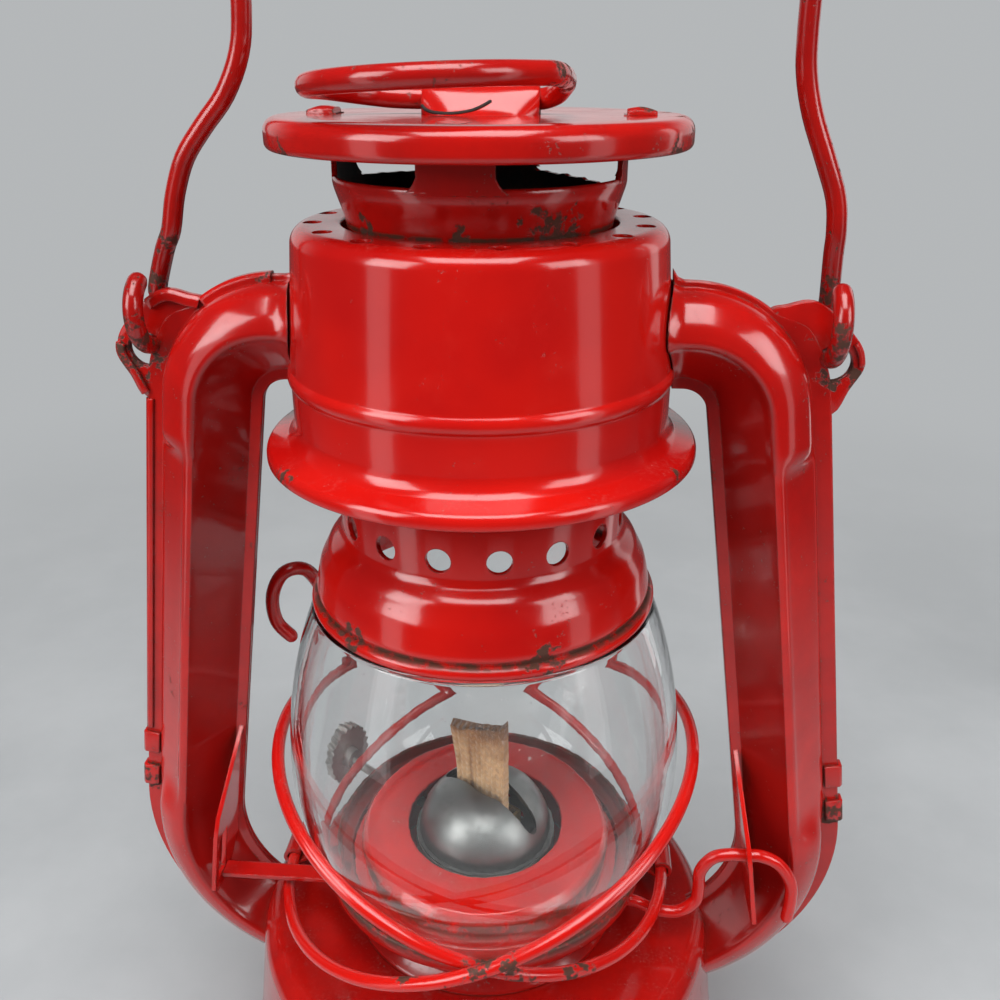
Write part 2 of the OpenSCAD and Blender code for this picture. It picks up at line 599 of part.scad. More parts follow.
// Upright leaf on the inner flange of the right tube, with a pointed top and a slot from v down the leg
module leaf(slot_high, slot_low, slot_v, slot_w) difference() {
    leg_frame() translate([elbow_r - leaf_u - sheet, 0, 0]) rotate([90, 0, 90]) linear_extrude(sheet)
        difference() {
            polygon([[-leaf_top, sheet], [-leaf_top - 3, 4], [-pivot_s + 4, leaf_reach - 1],
                [-pivot_s, leaf_reach], [-leaf_low + 2, leaf_reach], [-leaf_low, leaf_reach - 2],
                [-leaf_low, sheet]]);
            translate([-slot_low, slot_v]) square([slot_low - slot_high, slot_w]);
        }
    tube_path(half_block(stub_edge, 0), half_block(bend_edge, flange_lap), half_block(leg_edge, 0));
}
lever_slot = lever_wire_d + 0.5;
module lever_bracket() color(enamel)
    leaf(pivot_s - lever_slot / 2 - 0.4, pivot_s + lever_slot / 2 + 0.4,
        lever_y - lever_slot / 2, lever_slot);
module left_guide() color(enamel) mirror([1, 0, 0])
    leaf(leaf_s(plate_z + sheet + globe_lift + 0.6), leaf_s(plate_z - 0.6), tongue_v - slide_gap,
        tongue_w + 2 * slide_gap);

// The lever rocks in the slot of its bracket; its inner end lies under the rim of the globe plate
tip_z = plate_z - slide_gap - lever_wire_d / 2;
lever_route = [[plate_r - 3.4, tip_z], [plate_r - 1.4, tip_z - 0.4], [plate_r + 2, tip_z - 2],
    [plate_r + 6.4, tip_z - 2.2], [plate_r + 9.4, tip_z + 0.6], [plate_r + 9.8, tip_z + 4],
    [plate_r + 9.8, pivot[1] - 4.4], [plate_r + 11.8, pivot[1] - 1], [pivot[0] - 3, pivot[1]], pivot,
    pivot + [2.4, 0], pivot + [5.6, -1.6], pivot + [8.2, -5.6], pivot + [8.8, -10], pivot + [8.6, -14.4]];
module lift_lever() color(enamel)
    wire(spline([for (p = lever_route) [p[0], -lever_y, p[1]]], 3), lever_wire_d, 10);

// Dome, chimney and cap

bead_z = skirt_z + 12.9;
top_round = 2.7;
function dome_side(t) = concat(
    [[skirt_r - t, skirt_z], [skirt_r - t, skirt_z + 0.9]],
    arc([skirt_r - 1.7, skirt_z + 0.9], 1.7 - t, 0, 50, 4),
    arc([dome_low_r + 3.4, skirt_z + skirt_h], 3.4 + t, 232, 180, 6),
    [[dome_low_r - t, bead_z - 1.8]], arc([dome_low_r - 1.4, bead_z], 1.9 - t, -48, 48, 6),
    [[dome_low_r - 0.15 - t, bead_z + 1.8]],
    arc([dome_top_r - top_round, dome_top_z - top_round], top_round - t, 3, 90, 6));
hole_gap = 1.1;
throat_r = chimney_r + hole_gap;
vent_r = 1.4;
module dome() color(enamel) difference() {
    turned(concat(dome_side(0), [[throat_r, dome_top_z], [throat_r, dome_top_z - sheet]],
        reversed(dome_side(sheet))));
    for (i = [0 : vent_count - 1]) rotate([0, 0, 360 * (i + 0.5) / vent_count])
        translate([(throat_r + dome_top_r) / 2 + 0.3, 0, dome_top_z - 5]) cylinder(r = vent_r, h = 10);
    translate([-60, 0, elbow_z + elbow_r - (outer_flange + body_end) / 2]) rotate([0, 90, 0])
        cylinder(r = 5, h = 120);
}

// Collar: rolled bead over the globe mouth, skirt with two shoulders and perforated neck
collar_bead_r = 1.15;
// Shares of the way from the neck out to the bead, and heights over the collar's lower edge
collar_edge = [[0.82, 1.4], [0.81, 2.6], [0.83, 3.5], [0.78, 5.1], [0.73, 6.5], [0.67, 7.7], [0.58, 8.8],
    [0.49, 9.9], [0.41, 10.9], [0.3, 11.7], [0.18, 12.4], [0.07, 13.1], [0, 14]];
collar_top_z = skirt_z - 5;
hole_drop = 5.3;
hole_z = collar_top_z - hole_drop;
hole_start = -78.4;
mouth_gap = 0.7;
mouth_r = globe_mouth_r - glass_t - mouth_gap;
mouth_depth = 1.8;
ledge_z = collar_z + 1;
function collar_side(t) = [for (p = collar_edge)
    [collar_neck_r + p[0] * (collar_r - collar_neck_r) - t, collar_z + p[1]]];
module chimney_collar() color(enamel) difference() {
    union() {
        turned(concat(collar_side(0), [[collar_neck_r, collar_top_z], [chimney_r, collar_top_z],
            [chimney_r, collar_top_z - sheet], [collar_neck_r - sheet, collar_top_z - sheet]],
            reversed(collar_side(sheet))));
        rotate_extrude() translate([collar_r - collar_bead_r, collar_z + collar_bead_r])
            circle(r = collar_bead_r, $fn = 32);
        turned([[mouth_r - sheet, collar_z - mouth_depth], [mouth_r, collar_z - mouth_depth],
            [mouth_r, ledge_z], [collar_r - collar_bead_r, ledge_z],
            [collar_r - collar_bead_r, ledge_z + sheet], [mouth_r - sheet, ledge_z + sheet]]);
    }
    for (i = [0 : collar_holes - 1]) rotate([0, 0, hole_start + 360 * i / collar_holes])
        translate([chimney_r + 1, 0, hole_z]) rotate([0, 90, 0])
            cylinder(r = collar_hole_r, h = collar_neck_r);
}

post_count = 4;
post_start = -93;
post_low_z = lip_z - 1.4;
tab_w = 4.4;
tab_slack = 0.15;
fold_l = 4.2;
// Chimney tube with a swelled lip, and posts whose tabs pass through the cap and fold outward over it
module chimney_tube() color(enamel) {
    turned([[chimney_r - sheet, collar_top_z - 3], [chimney_r, collar_top_z - 3],
        [chimney_r, dome_top_z - 1.5],
        [neck_r - 0.6, lip_z - 2.2], [neck_r, lip_z - 1.2], [neck_r, lip_z - 0.5], [neck_r - 0.4, lip_z],
        [neck_r - sheet - 0.3, lip_z], [neck_r - sheet - 0.2, lip_z - 1.2],
        [neck_r - sheet - 0.8, lip_z - 2.2],
        [chimney_r - sheet, dome_top_z - 1.5]]);
    for (i = [0 : post_count - 1]) rotate([0, 0, post_start + 90 * i]) {
        intersection() {
            ring(neck_r - sheet, neck_r, post_low_z, cap_top_z - sheet - post_low_z);
            translate([0, -post_w / 2, 0]) cube([neck_r + 1, post_w, 2 * cap_top_z]);
        }
        intersection() {
            ring(neck_r - sheet, neck_r, cap_top_z - sheet - 1, 2 * sheet + 1);
            translate([0, -tab_w / 2, 0]) cube([neck_r + 1, tab_w, 2 * cap_top_z]);
        }
        translate([neck_r - sheet / 2, -tab_w / 2, cap_top_z]) cube([fold_l, tab_w, sheet]);
    }
}

rim_round = 1.7;
function cap_side(t) = concat([[cap_r - 1 - t, cap_z]], arc([cap_r - 1, cap_z + 1], 1 - t, -80, 0, 4),
    arc([cap_r - rim_round, cap_top_z - rim_round], rim_round - t, 0, 90, 6));
module cap() color(enamel) difference() {
    turned(concat(cap_side(0), [[0, cap_top_z], [0, cap_top_z - sheet]], reversed(cap_side(sheet))));
    for (i = [0 : post_count - 1]) rotate([0, 0, post_start + 90 * i]) intersection() {
        ring(neck_r - sheet - tab_slack, neck_r + tab_slack, cap_top_z - 2, 4);
        translate([0, -tab_w / 2 - tab_slack, 0]) cube([neck_r + 1, tab_w + 2 * tab_slack, 2 * cap_top_z]);
    }
}

// Saddle on the cap, bored along X for the two pins of the lift ring
saddle_w = 15;
saddle_l = 9.4;
pin_z = cap_top_z + ring_wire_d / 2 + 0.6;
saddle_r = 6;
saddle_top = pin_z + ring_wire_d / 2 + 0.6;
module ring_saddle() color(enamel) difference() {
    intersection() {
        translate([-saddle_w / 2, 0, saddle_top - saddle_r]) rotate([0, 90, 0])
            cylinder(r = saddle_r, h = saddle_w);
        translate([-saddle_w, -saddle_l / 2, cap_top_z]) cube([2 * saddle_w, saddle_l, saddle_w]);
    }
    translate([-saddle_w, 0, pin_z]) rotate([0, 90, 0])
        cylinder(r = ring_wire_d / 2 + shaft_gap, h = 2 * saddle_w);
}
// The lift ring lies forward over the cap, a little to the left, with both ends turned into the saddle
loop_r = 16.55;
loop_c = [-4.2, -13];
loop_rise = 2.4;
loop_tilt = 0.7;
loop_front = 0.85;
pin_in = saddle_w / 2 - 5;
pin_face = saddle_w / 2 - 1.1;
pin_out = saddle_w / 2 + 0.6;
pin_turn = saddle_w / 2 + 1.6;
loop_right = loop_c[0] + loop_r;
loop_left = loop_c[0] - loop_r;
ring_route = concat([[pin_in, 0, 0], [pin_face, 0, 0], [pin_out, 0, 0], [pin_turn, 0, 0],
        [loop_right - 1.1, -1.8, 0.9], [loop_right - 0.4, -6, 2.2]],
    [for (a = [0 : -20 : -180]) [loop_c[0] + loop_r * cos(a), loop_c[1] + loop_r * sin(a),
        loop_rise + loop_tilt * cos(a) - loop_front * sin(a)]],
    [[loop_left + 0.6, -7.5, 1.4], [loop_left + 2.6, -3.2, 0.9], [loop_left + 5.8, -0.9, 0.4],
        [-pin_turn - 3, -0.2, 0.1], [-pin_turn, 0, 0], [-pin_out, 0, 0], [-pin_face, 0, 0], [-pin_in, 0, 0]]);
module lift_ring() color(enamel) translate([0, 0, pin_z]) wire(spline(ring_route, 3), ring_wire_d, 12);

// Compression spring between the dome and the collar, as one coil
spring_r = collar_neck_r - spring_wire_d / 2;
spring_low = collar_top_z + slide_gap + spring_wire_d / 2;
spring_high = dome_top_z - sheet - slide_gap - spring_wire_d / 2;
rings_per_turn = 8;
spring_rings = spring_turns * rings_per_turn;
spring_path = [for (i = [0 : spring_rings]) let (a = 360 * i / rings_per_turn)
    [spring_r * cos(a), spring_r * sin(a), spring_low + (spring_high - spring_low) * i / spring_rings]];
spring_self_gap = min([for (i = [0 : spring_rings - rings_per_turn], k = [-1 : 1])
    norm(spring_path[min(i + rings_per_turn + k, spring_rings)] - spring_path[i])]) - spring_wire_d;
echo(spring_self_gap = spring_self_gap);
module chimney_spring() color(bright_steel) wire(spring_path, spring_wire_d, 6);

// Bail: an eye through each ear, two bent legs and the arch, leaning a little to the right as it is bent
eye_gap = 0.4;
eye_x = ear_centre[0];
eye_z = ear_centre[1] + ear_hole_r - bail_wire_d / 2 - eye_gap + eye_r;
bail_y = 3;
bail_top_z = ear_centre[1] + bail_rise;
function eye(side) = [for (a = [-155 : 19.5 : 118]) [side * eye_x, eye_r * sin(a), eye_z - eye_r * cos(a)]];

// Points of each leg: inward from the eye, to the back, and up from the eye centre
right_leg = [[0.2, bail_y + 0.6, 9.4], [0.4, bail_y, 13], [1.1, bail_y, 17.6], [3.3, bail_y, 23],
    [5.9, bail_y, 29], [7.4, bail_y, 34.4], [7.9, bail_y, 40]];
left_leg = [[2.5, bail_y + 0.8, 8.8], [4.3, bail_y, 12], [5.7, bail_y, 17.4], [7.9, bail_y, 22.6],
    [11.3, bail_y, 27], [15.1, bail_y, 31.4], [17.9, bail_y, 37], [18.9, bail_y, 43]];
function leg(points, side) = [for (p = points) [side * (eye_x - p[0]), p[1], eye_z + p[2]]];
arch_right = eye_x - right_leg[len(right_leg) - 1][0];
arch_left = left_leg[len(left_leg) - 1][0] - eye_x;
arch_half = (arch_right - arch_left) / 2;
arch_c = [(arch_right + arch_left) / 2, eye_z + 48];
arch = [for (a = [10 : 16 : 170])
    [arch_c[0] + arch_half * cos(a), bail_y, arch_c[1] + (bail_top_z - arch_c[1]) * sin(a)]];
module bail() color(enamel) wire(spline(concat(eye(1), leg(right_leg, 1), arch, reversed(leg(left_leg, -1)),
    reversed(eye(-1))), 2), bail_wire_d, 10);

fount_body();
fount_base();
air_duct();
filler_neck();
filler_gasket();
filler_cap();
burner_collar();
burner_basket();
burner_cone();
wick_tube();
wick();
wick_shaft();
wick_wheels();
wick_knob();
air_bell();
globe_plate();
guard_ring_left();
guard_ring_right();
hook_wire();
globe();
left_tube_front();
left_tube_rear();
right_tube_front();
right_tube_rear();
left_guide();
lever_bracket();
lift_lever();
dome();
chimney_collar();
chimney_tube();
chimney_spring();
cap();
ring_saddle();
lift_ring();
bail();
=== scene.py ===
# %% [markdown]
# # A red tubular lantern
# The lantern is pressed from thin steel sheet and bent wire, dipped in red enamel and worn by years of use.
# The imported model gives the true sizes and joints. This lesson dresses it: the round pressings are turned
# again with soft edges, the tubes are lofted with smooth shoulders, and each wire is swept along its route.

# %% Load the fixed frame
import math

import bmesh
import bpy
from mathutils import Euler, Matrix, Vector


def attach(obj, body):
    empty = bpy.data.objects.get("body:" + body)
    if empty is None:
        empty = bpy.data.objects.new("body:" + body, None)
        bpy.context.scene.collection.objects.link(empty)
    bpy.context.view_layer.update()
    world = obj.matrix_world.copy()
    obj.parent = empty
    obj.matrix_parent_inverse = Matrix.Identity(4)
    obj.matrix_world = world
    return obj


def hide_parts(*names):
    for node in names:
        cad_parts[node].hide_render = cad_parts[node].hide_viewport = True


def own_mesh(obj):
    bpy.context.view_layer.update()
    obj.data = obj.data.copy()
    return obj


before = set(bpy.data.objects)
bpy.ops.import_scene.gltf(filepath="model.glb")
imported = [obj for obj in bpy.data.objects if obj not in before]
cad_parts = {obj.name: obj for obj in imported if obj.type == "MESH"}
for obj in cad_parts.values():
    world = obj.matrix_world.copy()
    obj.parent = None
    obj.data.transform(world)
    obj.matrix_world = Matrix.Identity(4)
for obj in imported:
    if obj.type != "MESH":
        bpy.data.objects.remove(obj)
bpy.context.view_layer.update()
MM = 0.001

# %% [markdown]
# ## Camera
# The picture looks down on the lantern from close by, so nearby round parts show wide ellipses.
# A camera can be aimed with a constraint, but here its three axes are known, so they are written as a matrix:
# right, up and backward as columns, then the place.

# %% Camera at the viewing angle
EYE = Vector((14.5, -147.5, 206.0)) * MM
FORWARD = Vector((-0.0714, 0.9093, -0.4099)).normalized()
RIGHT = FORWARD.cross(Vector((0, 0, 1))).normalized()
UP = RIGHT.cross(FORWARD)
camera_data = bpy.data.cameras.new("camera")
camera_data.sensor_fit = "HORIZONTAL"
camera_data.sensor_width = 36
camera_data.lens = 34.95
camera_data.clip_start = 0.005
camera = bpy.data.objects.new("camera", camera_data)
bpy.context.scene.collection.objects.link(camera)
axes = Matrix((RIGHT, UP, -FORWARD)).transposed().to_4x4()
camera.matrix_world = Matrix.Translation(EYE) @ axes
bpy.context.scene.camera = camera
print("camera at", tuple(round(v, 3) for v in camera.location))

# %% [markdown]
# ## Drawing helpers
# Every profile is drawn as plain points in millimetres: arcs, and a smooth curve through points for wires.
# Sharp corners of sheet metal are never quite sharp, so one helper rounds each corner of a closed outline.

# %% Arcs, directions, smooth curves and rounded corners
def arc(centre, radius, start, end, count=8):
    """Points of an arc, angles in degrees."""
    angles = [math.radians(start + (end - start) * i / count) for i in range(count + 1)]
    return [(centre[0] + radius * math.cos(a), centre[1] + radius * math.sin(a)) for a in angles]


def spoke(angle):
    """The level direction at an angle in degrees, counted from the right."""
    a = math.radians(angle)
    return Vector((math.cos(a), math.sin(a), 0))


def turns(count):
    """Angles of evenly spaced points round a circle."""
    return [2 * math.pi * k / count for k in range(count)]


def ramp(value, low, high):
    """0 below low, 1 above high, and straight between them."""
    return min(max((value - low) / (high - low), 0), 1)


def tangent(line, i):
    """Direction of an open line at its point i."""
    return (line[min(i + 1, len(line) - 1)] - line[max(i - 1, 0)]).normalized()


def smooth_curve(points, steps):
    """A Catmull-Rom curve through the points."""
    points = [Vector(p) for p in points]
    last, made = len(points) - 1, []
    for i in range(last):
        a, b, c, d = points[max(i - 1, 0)], points[i], points[i + 1], points[min(i + 2, last)]
        for k in range(steps):
            t = k / steps
            made.append(0.5 * (2 * b + (c - a) * t + (2 * a - 5 * b + 4 * c - d) * t * t
                               + (3 * b - a - 3 * c + d) * t ** 3))
    return made + [points[last]]


def soften(outline, radius, steps=3):
    """A closed outline with each clear corner rounded."""
    made, count = [], len(outline)
    for i in range(count):
        before, here, after = (Vector(outline[(i + k) % count]) for k in (-1, 0, 1))
        back, ahead = before - here, after - here
        if back.length < 1e-6 or ahead.length < 1e-6:
            continue
        bend = math.pi - back.angle(ahead)
        reach = min(radius * math.tan(bend / 2), 0.45 * back.length, 0.45 * ahead.length)
        if bend < math.radians(12) or here.x < 0.01:
            made.append(tuple(here))
            continue
        first, last = here + back.normalized() * reach, here + ahead.normalized() * reach
        for k in range(steps + 1):
            t = k / steps
            made.append(tuple((1 - t) ** 2 * first + 2 * t * (1 - t) * here + t * t * last))
    return made


# %% [markdown]
# ## Making a piece
# A piece is one mesh that rides on a body of the frame. Loose parts of the same pressing are collected in one
# sketch first. Shading is smooth, and only edges with a clear angle stay crisp.

# %% Sketch: a mesh in millimetres that becomes a piece
CRISP = math.radians(38)


class Sketch:
    def __init__(self):
        self.bm = bmesh.new()

    def grid(self, rows, close_rows=False, close_columns=False, caps=False):
        """Joins rows of points to a skin; caps closes the first and the last row."""
        rings = [[self.bm.verts.new(Vector(p) * MM) for p in row] for row in rows]
        width = len(rings[0])
        pairs = list(zip(rings, rings[1:])) + ([(rings[-1], rings[0])] if close_rows else [])
        for low, high in pairs:
            for k in range(width if close_columns else width - 1):
                n = (k + 1) % width
                self.bm.faces.new((low[k], low[n], high[n], high[k]))
        if caps:
            self.bm.faces.new(list(reversed(rings[0])))
            self.bm.faces.new(rings[-1])
        return self

    def lathe(self, outline, steps=160):
        """Turns a closed outline of radius and height about the upright axis."""
        rows = [[(r * math.cos(a), r * math.sin(a), z) for r, z in outline] for a in turns(steps)]
        return self.grid(rows, close_rows=True, close_columns=True)

    def wire(self, path, diameter, sides=16, closed=False, flat=1.0):
        """A round wire along a path, with domed ends; flat below 1 squeezes it."""
        path = [Vector(p) for p in path]
        count = len(path)

        def along(i):
            if closed:
                return (path[(i + 1) % count] - path[i - 1]).normalized()
            return tangent(path, i)

        side = Vector((0, 0, 1)) if abs(along(0).z) < 0.9 else Vector((0, 1, 0))
        rings = []
        for i in range(count):
            t = along(i)
            side = (side - side.dot(t) * t).normalized()
            rings.append((path[i], t, side.copy(), t.cross(side), 1.0))
        if not closed:
            for end, way in ((0, -1), (-1, 1)):
                p, t, n, b, _ = rings[end]
                domes = [(p + way * t * diameter * 0.5 * math.sin(a), t, n, b, max(math.cos(a), 0.05))
                         for a in (0.5, 1.0, 1.4)]
                rings = domes[::-1] + rings if end == 0 else rings + domes
        rows = []
        for p, t, n, b, size in rings:
            rows.append([p + diameter / 2 * size * (math.cos(a) * n + flat * math.sin(a) * b)
                         for a in turns(sides)])
        return self.grid(rows, close_rows=closed, close_columns=True, caps=not closed)

    def rod(self, point, direction, radius, length):
        """A round cutter or pin from a point along a direction."""
        direction = Vector(direction).normalized()
        side = direction.orthogonal().normalized()
        up = direction.cross(side)
        ring = [Vector(point) + radius * (math.cos(a) * side + math.sin(a) * up) for a in turns(32)]
        rows = [[p + direction * reach for p in ring] for reach in (0, length)]
        return self.grid(rows, close_columns=True, caps=True)

    def plate(self, outline, place, thickness):
        """A flat sheet: outline points (x, y) go through place() with a depth of 0 or thickness."""
        rows = [[place(x, y, depth) for x, y in outline] for depth in (0, thickness)]
        return self.grid(rows, close_columns=True, caps=True)

    def build(self, name):
        """Welds the sketch to an object in the scene."""
        bm = self.bm
        bmesh.ops.remove_doubles(bm, verts=bm.verts, dist=1e-7)
        bmesh.ops.dissolve_degenerate(bm, edges=bm.edges, dist=1e-8)
        bmesh.ops.recalc_face_normals(bm, faces=bm.faces)
        mesh = bpy.data.meshes.new(name)
        bm.to_mesh(mesh)
        bm.free()
        made = bpy.data.objects.new(name, mesh)
        bpy.context.scene.collection.objects.link(made)
        return made

    def piece(self, name, body, finish, slot, replaced=(), cutter=None, bevel=0.0):
        """Builds the sketch, drills it, shades it and lets it ride on a body."""
        made = self.build(name)
        if cutter:
            drill(made, cutter)
        if bevel:
            rounding = made.modifiers.new("rounding", "BEVEL")
            rounding.width, rounding.segments = bevel * MM, 2
            rounding.limit_method, rounding.angle_limit = "ANGLE", math.radians(40)
            keep_result(made)
        shade(made)
        made.data.materials.clear()
        made.data.materials.append(finish)
        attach(made, body)
        if replaced:
            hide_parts(*replaced)
        print(name, len(made.data.polygons), "faces on", body)
        return made


def keep_result(made):
    """Applies the modifiers of a piece to its mesh."""
    depsgraph = bpy.context.evaluated_depsgraph_get()
    mesh = bpy.data.meshes.new_from_object(made.evaluated_get(depsgraph))
    made.modifiers.clear()
    made.data = mesh


def shade(made):
    """Smooth faces, crisp where two faces meet at a clear angle."""
    bm = bmesh.new()
    bm.from_mesh(made.data)
    for face in bm.faces:
        face.smooth = True
    for edge in bm.edges:
        edge.smooth = len(edge.link_faces) == 2 and edge.calc_face_angle(0) < CRISP
    bm.to_mesh(made.data)
    bm.free()


def drill(made, cutter):
    """Takes the solids of a cutter sketch out of a piece."""
    tool = cutter.build("drill")
    cut = made.modifiers.new("cut", "BOOLEAN")
    cut.operation, cut.solver, cut.object = "DIFFERENCE", "EXACT", tool
    keep_result(made)
    bpy.data.meshes.remove(tool.data)


# %% [markdown]
# ## Writing shaders as sums
# A material is a net of nodes. Linking them one by one is slow to read, so a small class holds one socket and
# turns plus, minus and times into Math nodes. One method adds any other node: settings first, then inputs.

# %% Field: a socket that can be added and multiplied
class Field:
    def __init__(self, tree, socket=None):
        self.tree, self.socket = tree, socket

    def add(self, kind, settings=None, inputs=None, out=0):
        node = self.tree.nodes.new(kind)
        for name, value in (settings or {}).items():
            setattr(node, name, value)
        for name, value in (inputs or {}).items():
            if isinstance(value, Field):
                self.tree.links.new(value.socket, node.inputs[name])
            else:
                node.inputs[name].default_value = value
        return Field(self.tree, node.outputs[out])

    def math(self, operation, first, second):
        return self.add("ShaderNodeMath", {"operation": operation}, {0: first, 1: second})

    def __add__(self, other):
        return self.math("ADD", self, other)

    def __radd__(self, other):
        return self.math("ADD", other, self)

    def __sub__(self, other):
        return self.math("SUBTRACT", self, other)

    def __rsub__(self, other):
        return self.math("SUBTRACT", other, self)

    def __mul__(self, other):
        return self.math("MULTIPLY", self, other)

    def __rmul__(self, other):
        return self.math("MULTIPLY", other, self)

    def between(self, low, high):
        """0 below low, 1 above high, and a soft step between them."""
        return self.add("ShaderNodeMapRange", {"interpolation_type": "SMOOTHSTEP"},
                        {"Value": self, "From Min": low, "From Max": high})

    def larger(self, other):
        return self.math("MAXIMUM", self, other)

    def over(self, under, colour):
        """Lays a colour over another where this mask is 1."""
        return self.add("ShaderNodeMix", {"data_type": "RGBA"}, {0: self, 6: under, 7: colour}, 2)

    def noise(self, scale, detail=3.0, rough=0.5, stretch=None):
        """Cloudy noise on this place; scale is in clouds per metre."""
        place = self
        if stretch:
            place = self.add("ShaderNodeVectorMath", {"operation": "MULTIPLY"}, {0: self, 1: stretch})
        return self.add("ShaderNodeTexNoise", {}, {"Vector": place, "Scale": scale, "Detail": detail,
                                                   "Roughness": rough})

    def away(self, centre, radius):
        """1 at a point given in millimetres, falling to 0 at the radius."""
        gap = self.add("ShaderNodeVectorMath", {"operation": "DISTANCE"},
                       {0: self, 1: Vector(centre) * MM}, 1)
        return 1 - gap.between(radius * MM * 0.35, radius * MM)

    def part(self, axis):
        return self.add("ShaderNodeSeparateXYZ", {}, {0: self}, axis)

    def corner(self, depth):
        """1 in corners that are narrower than the depth, in metres."""
        return 1 - self.add("ShaderNodeAmbientOcclusion", {"samples": 4}, {"Distance": depth}, "AO")

    def bump(self, strength, depth, height, **more):
        inputs = {"Strength": strength, "Distance": depth, "Height": height, **more}
        return self.add("ShaderNodeBump", {}, inputs)


def new_finish(name, **sockets):
    """A material with one Principled shader; plain numbers go on the shader's own sockets."""
    finish = bpy.data.materials.new(name)
    finish.use_nodes = True
    shader = finish.node_tree.nodes["Principled BSDF"]
    for socket, value in sockets.items():
        shader.inputs[socket.replace("_", " ")].default_value = value
    start = Field(finish.node_tree)
    place = start.add("ShaderNodeTexCoord", out="Object")
    return finish, shader, start, place


def feed(finish, shader, **links):
    """Links fields to the sockets of a shader."""
    for socket, field in links.items():
        finish.node_tree.links.new(field.socket, shader.inputs[socket.replace("_", " ")])
    return finish


def set_surface(finish, field):
    """Makes another shader the last one of a material."""
    tree = finish.node_tree
    tree.links.new(field.socket, tree.nodes["Material Output"].inputs["Surface"])


# %% [markdown]
# ## Red enamel
# Stoving enamel is a thick glossy coat. It has a faint orange peel, wears through to dark steel on edges and
# rusts where wire rubs. Corners turn brown, part grime and part painted shade, and faces that look up are
# paler, part
# dust and part painted sheen. Faces that look towards the axis get painted shade. The bevel node finds the
# edges:
# where the rounded normal leaves the flat one, the paint is thin. Ambient occlusion finds the corners.

# %% Enamel and its wear
RED = (0.60, 0.0070, 0.0035, 1)
DEEP_RED = (0.47, 0.0045, 0.0035, 1)
FADED_RED = (0.60, 0.022, 0.014, 1)
RUST = (0.075, 0.022, 0.010, 1)
DARK_STEEL = (0.030, 0.020, 0.017, 1)
# The grime colour also paints shade in corners, the dust colour a sheen on faces that look up, the dull red
# shade on faces turned to the axis and on the fount and plate, and soot the shade in the saddle's slit.
GRIME_SHADE = (0.045, 0.014, 0.009, 1)
SOOT_AND_SHADE = (0.010, 0.008, 0.007, 1)
DUST_SHEEN = (0.42, 0.33, 0.29, 1)
DULL_AND_SHADE_RED = (0.17, 0.006, 0.005, 1)
EDGE_WIDTH, CORNER_DEPTH, PEEL_DEPTH = 0.0004, 0.0035, 0.00022


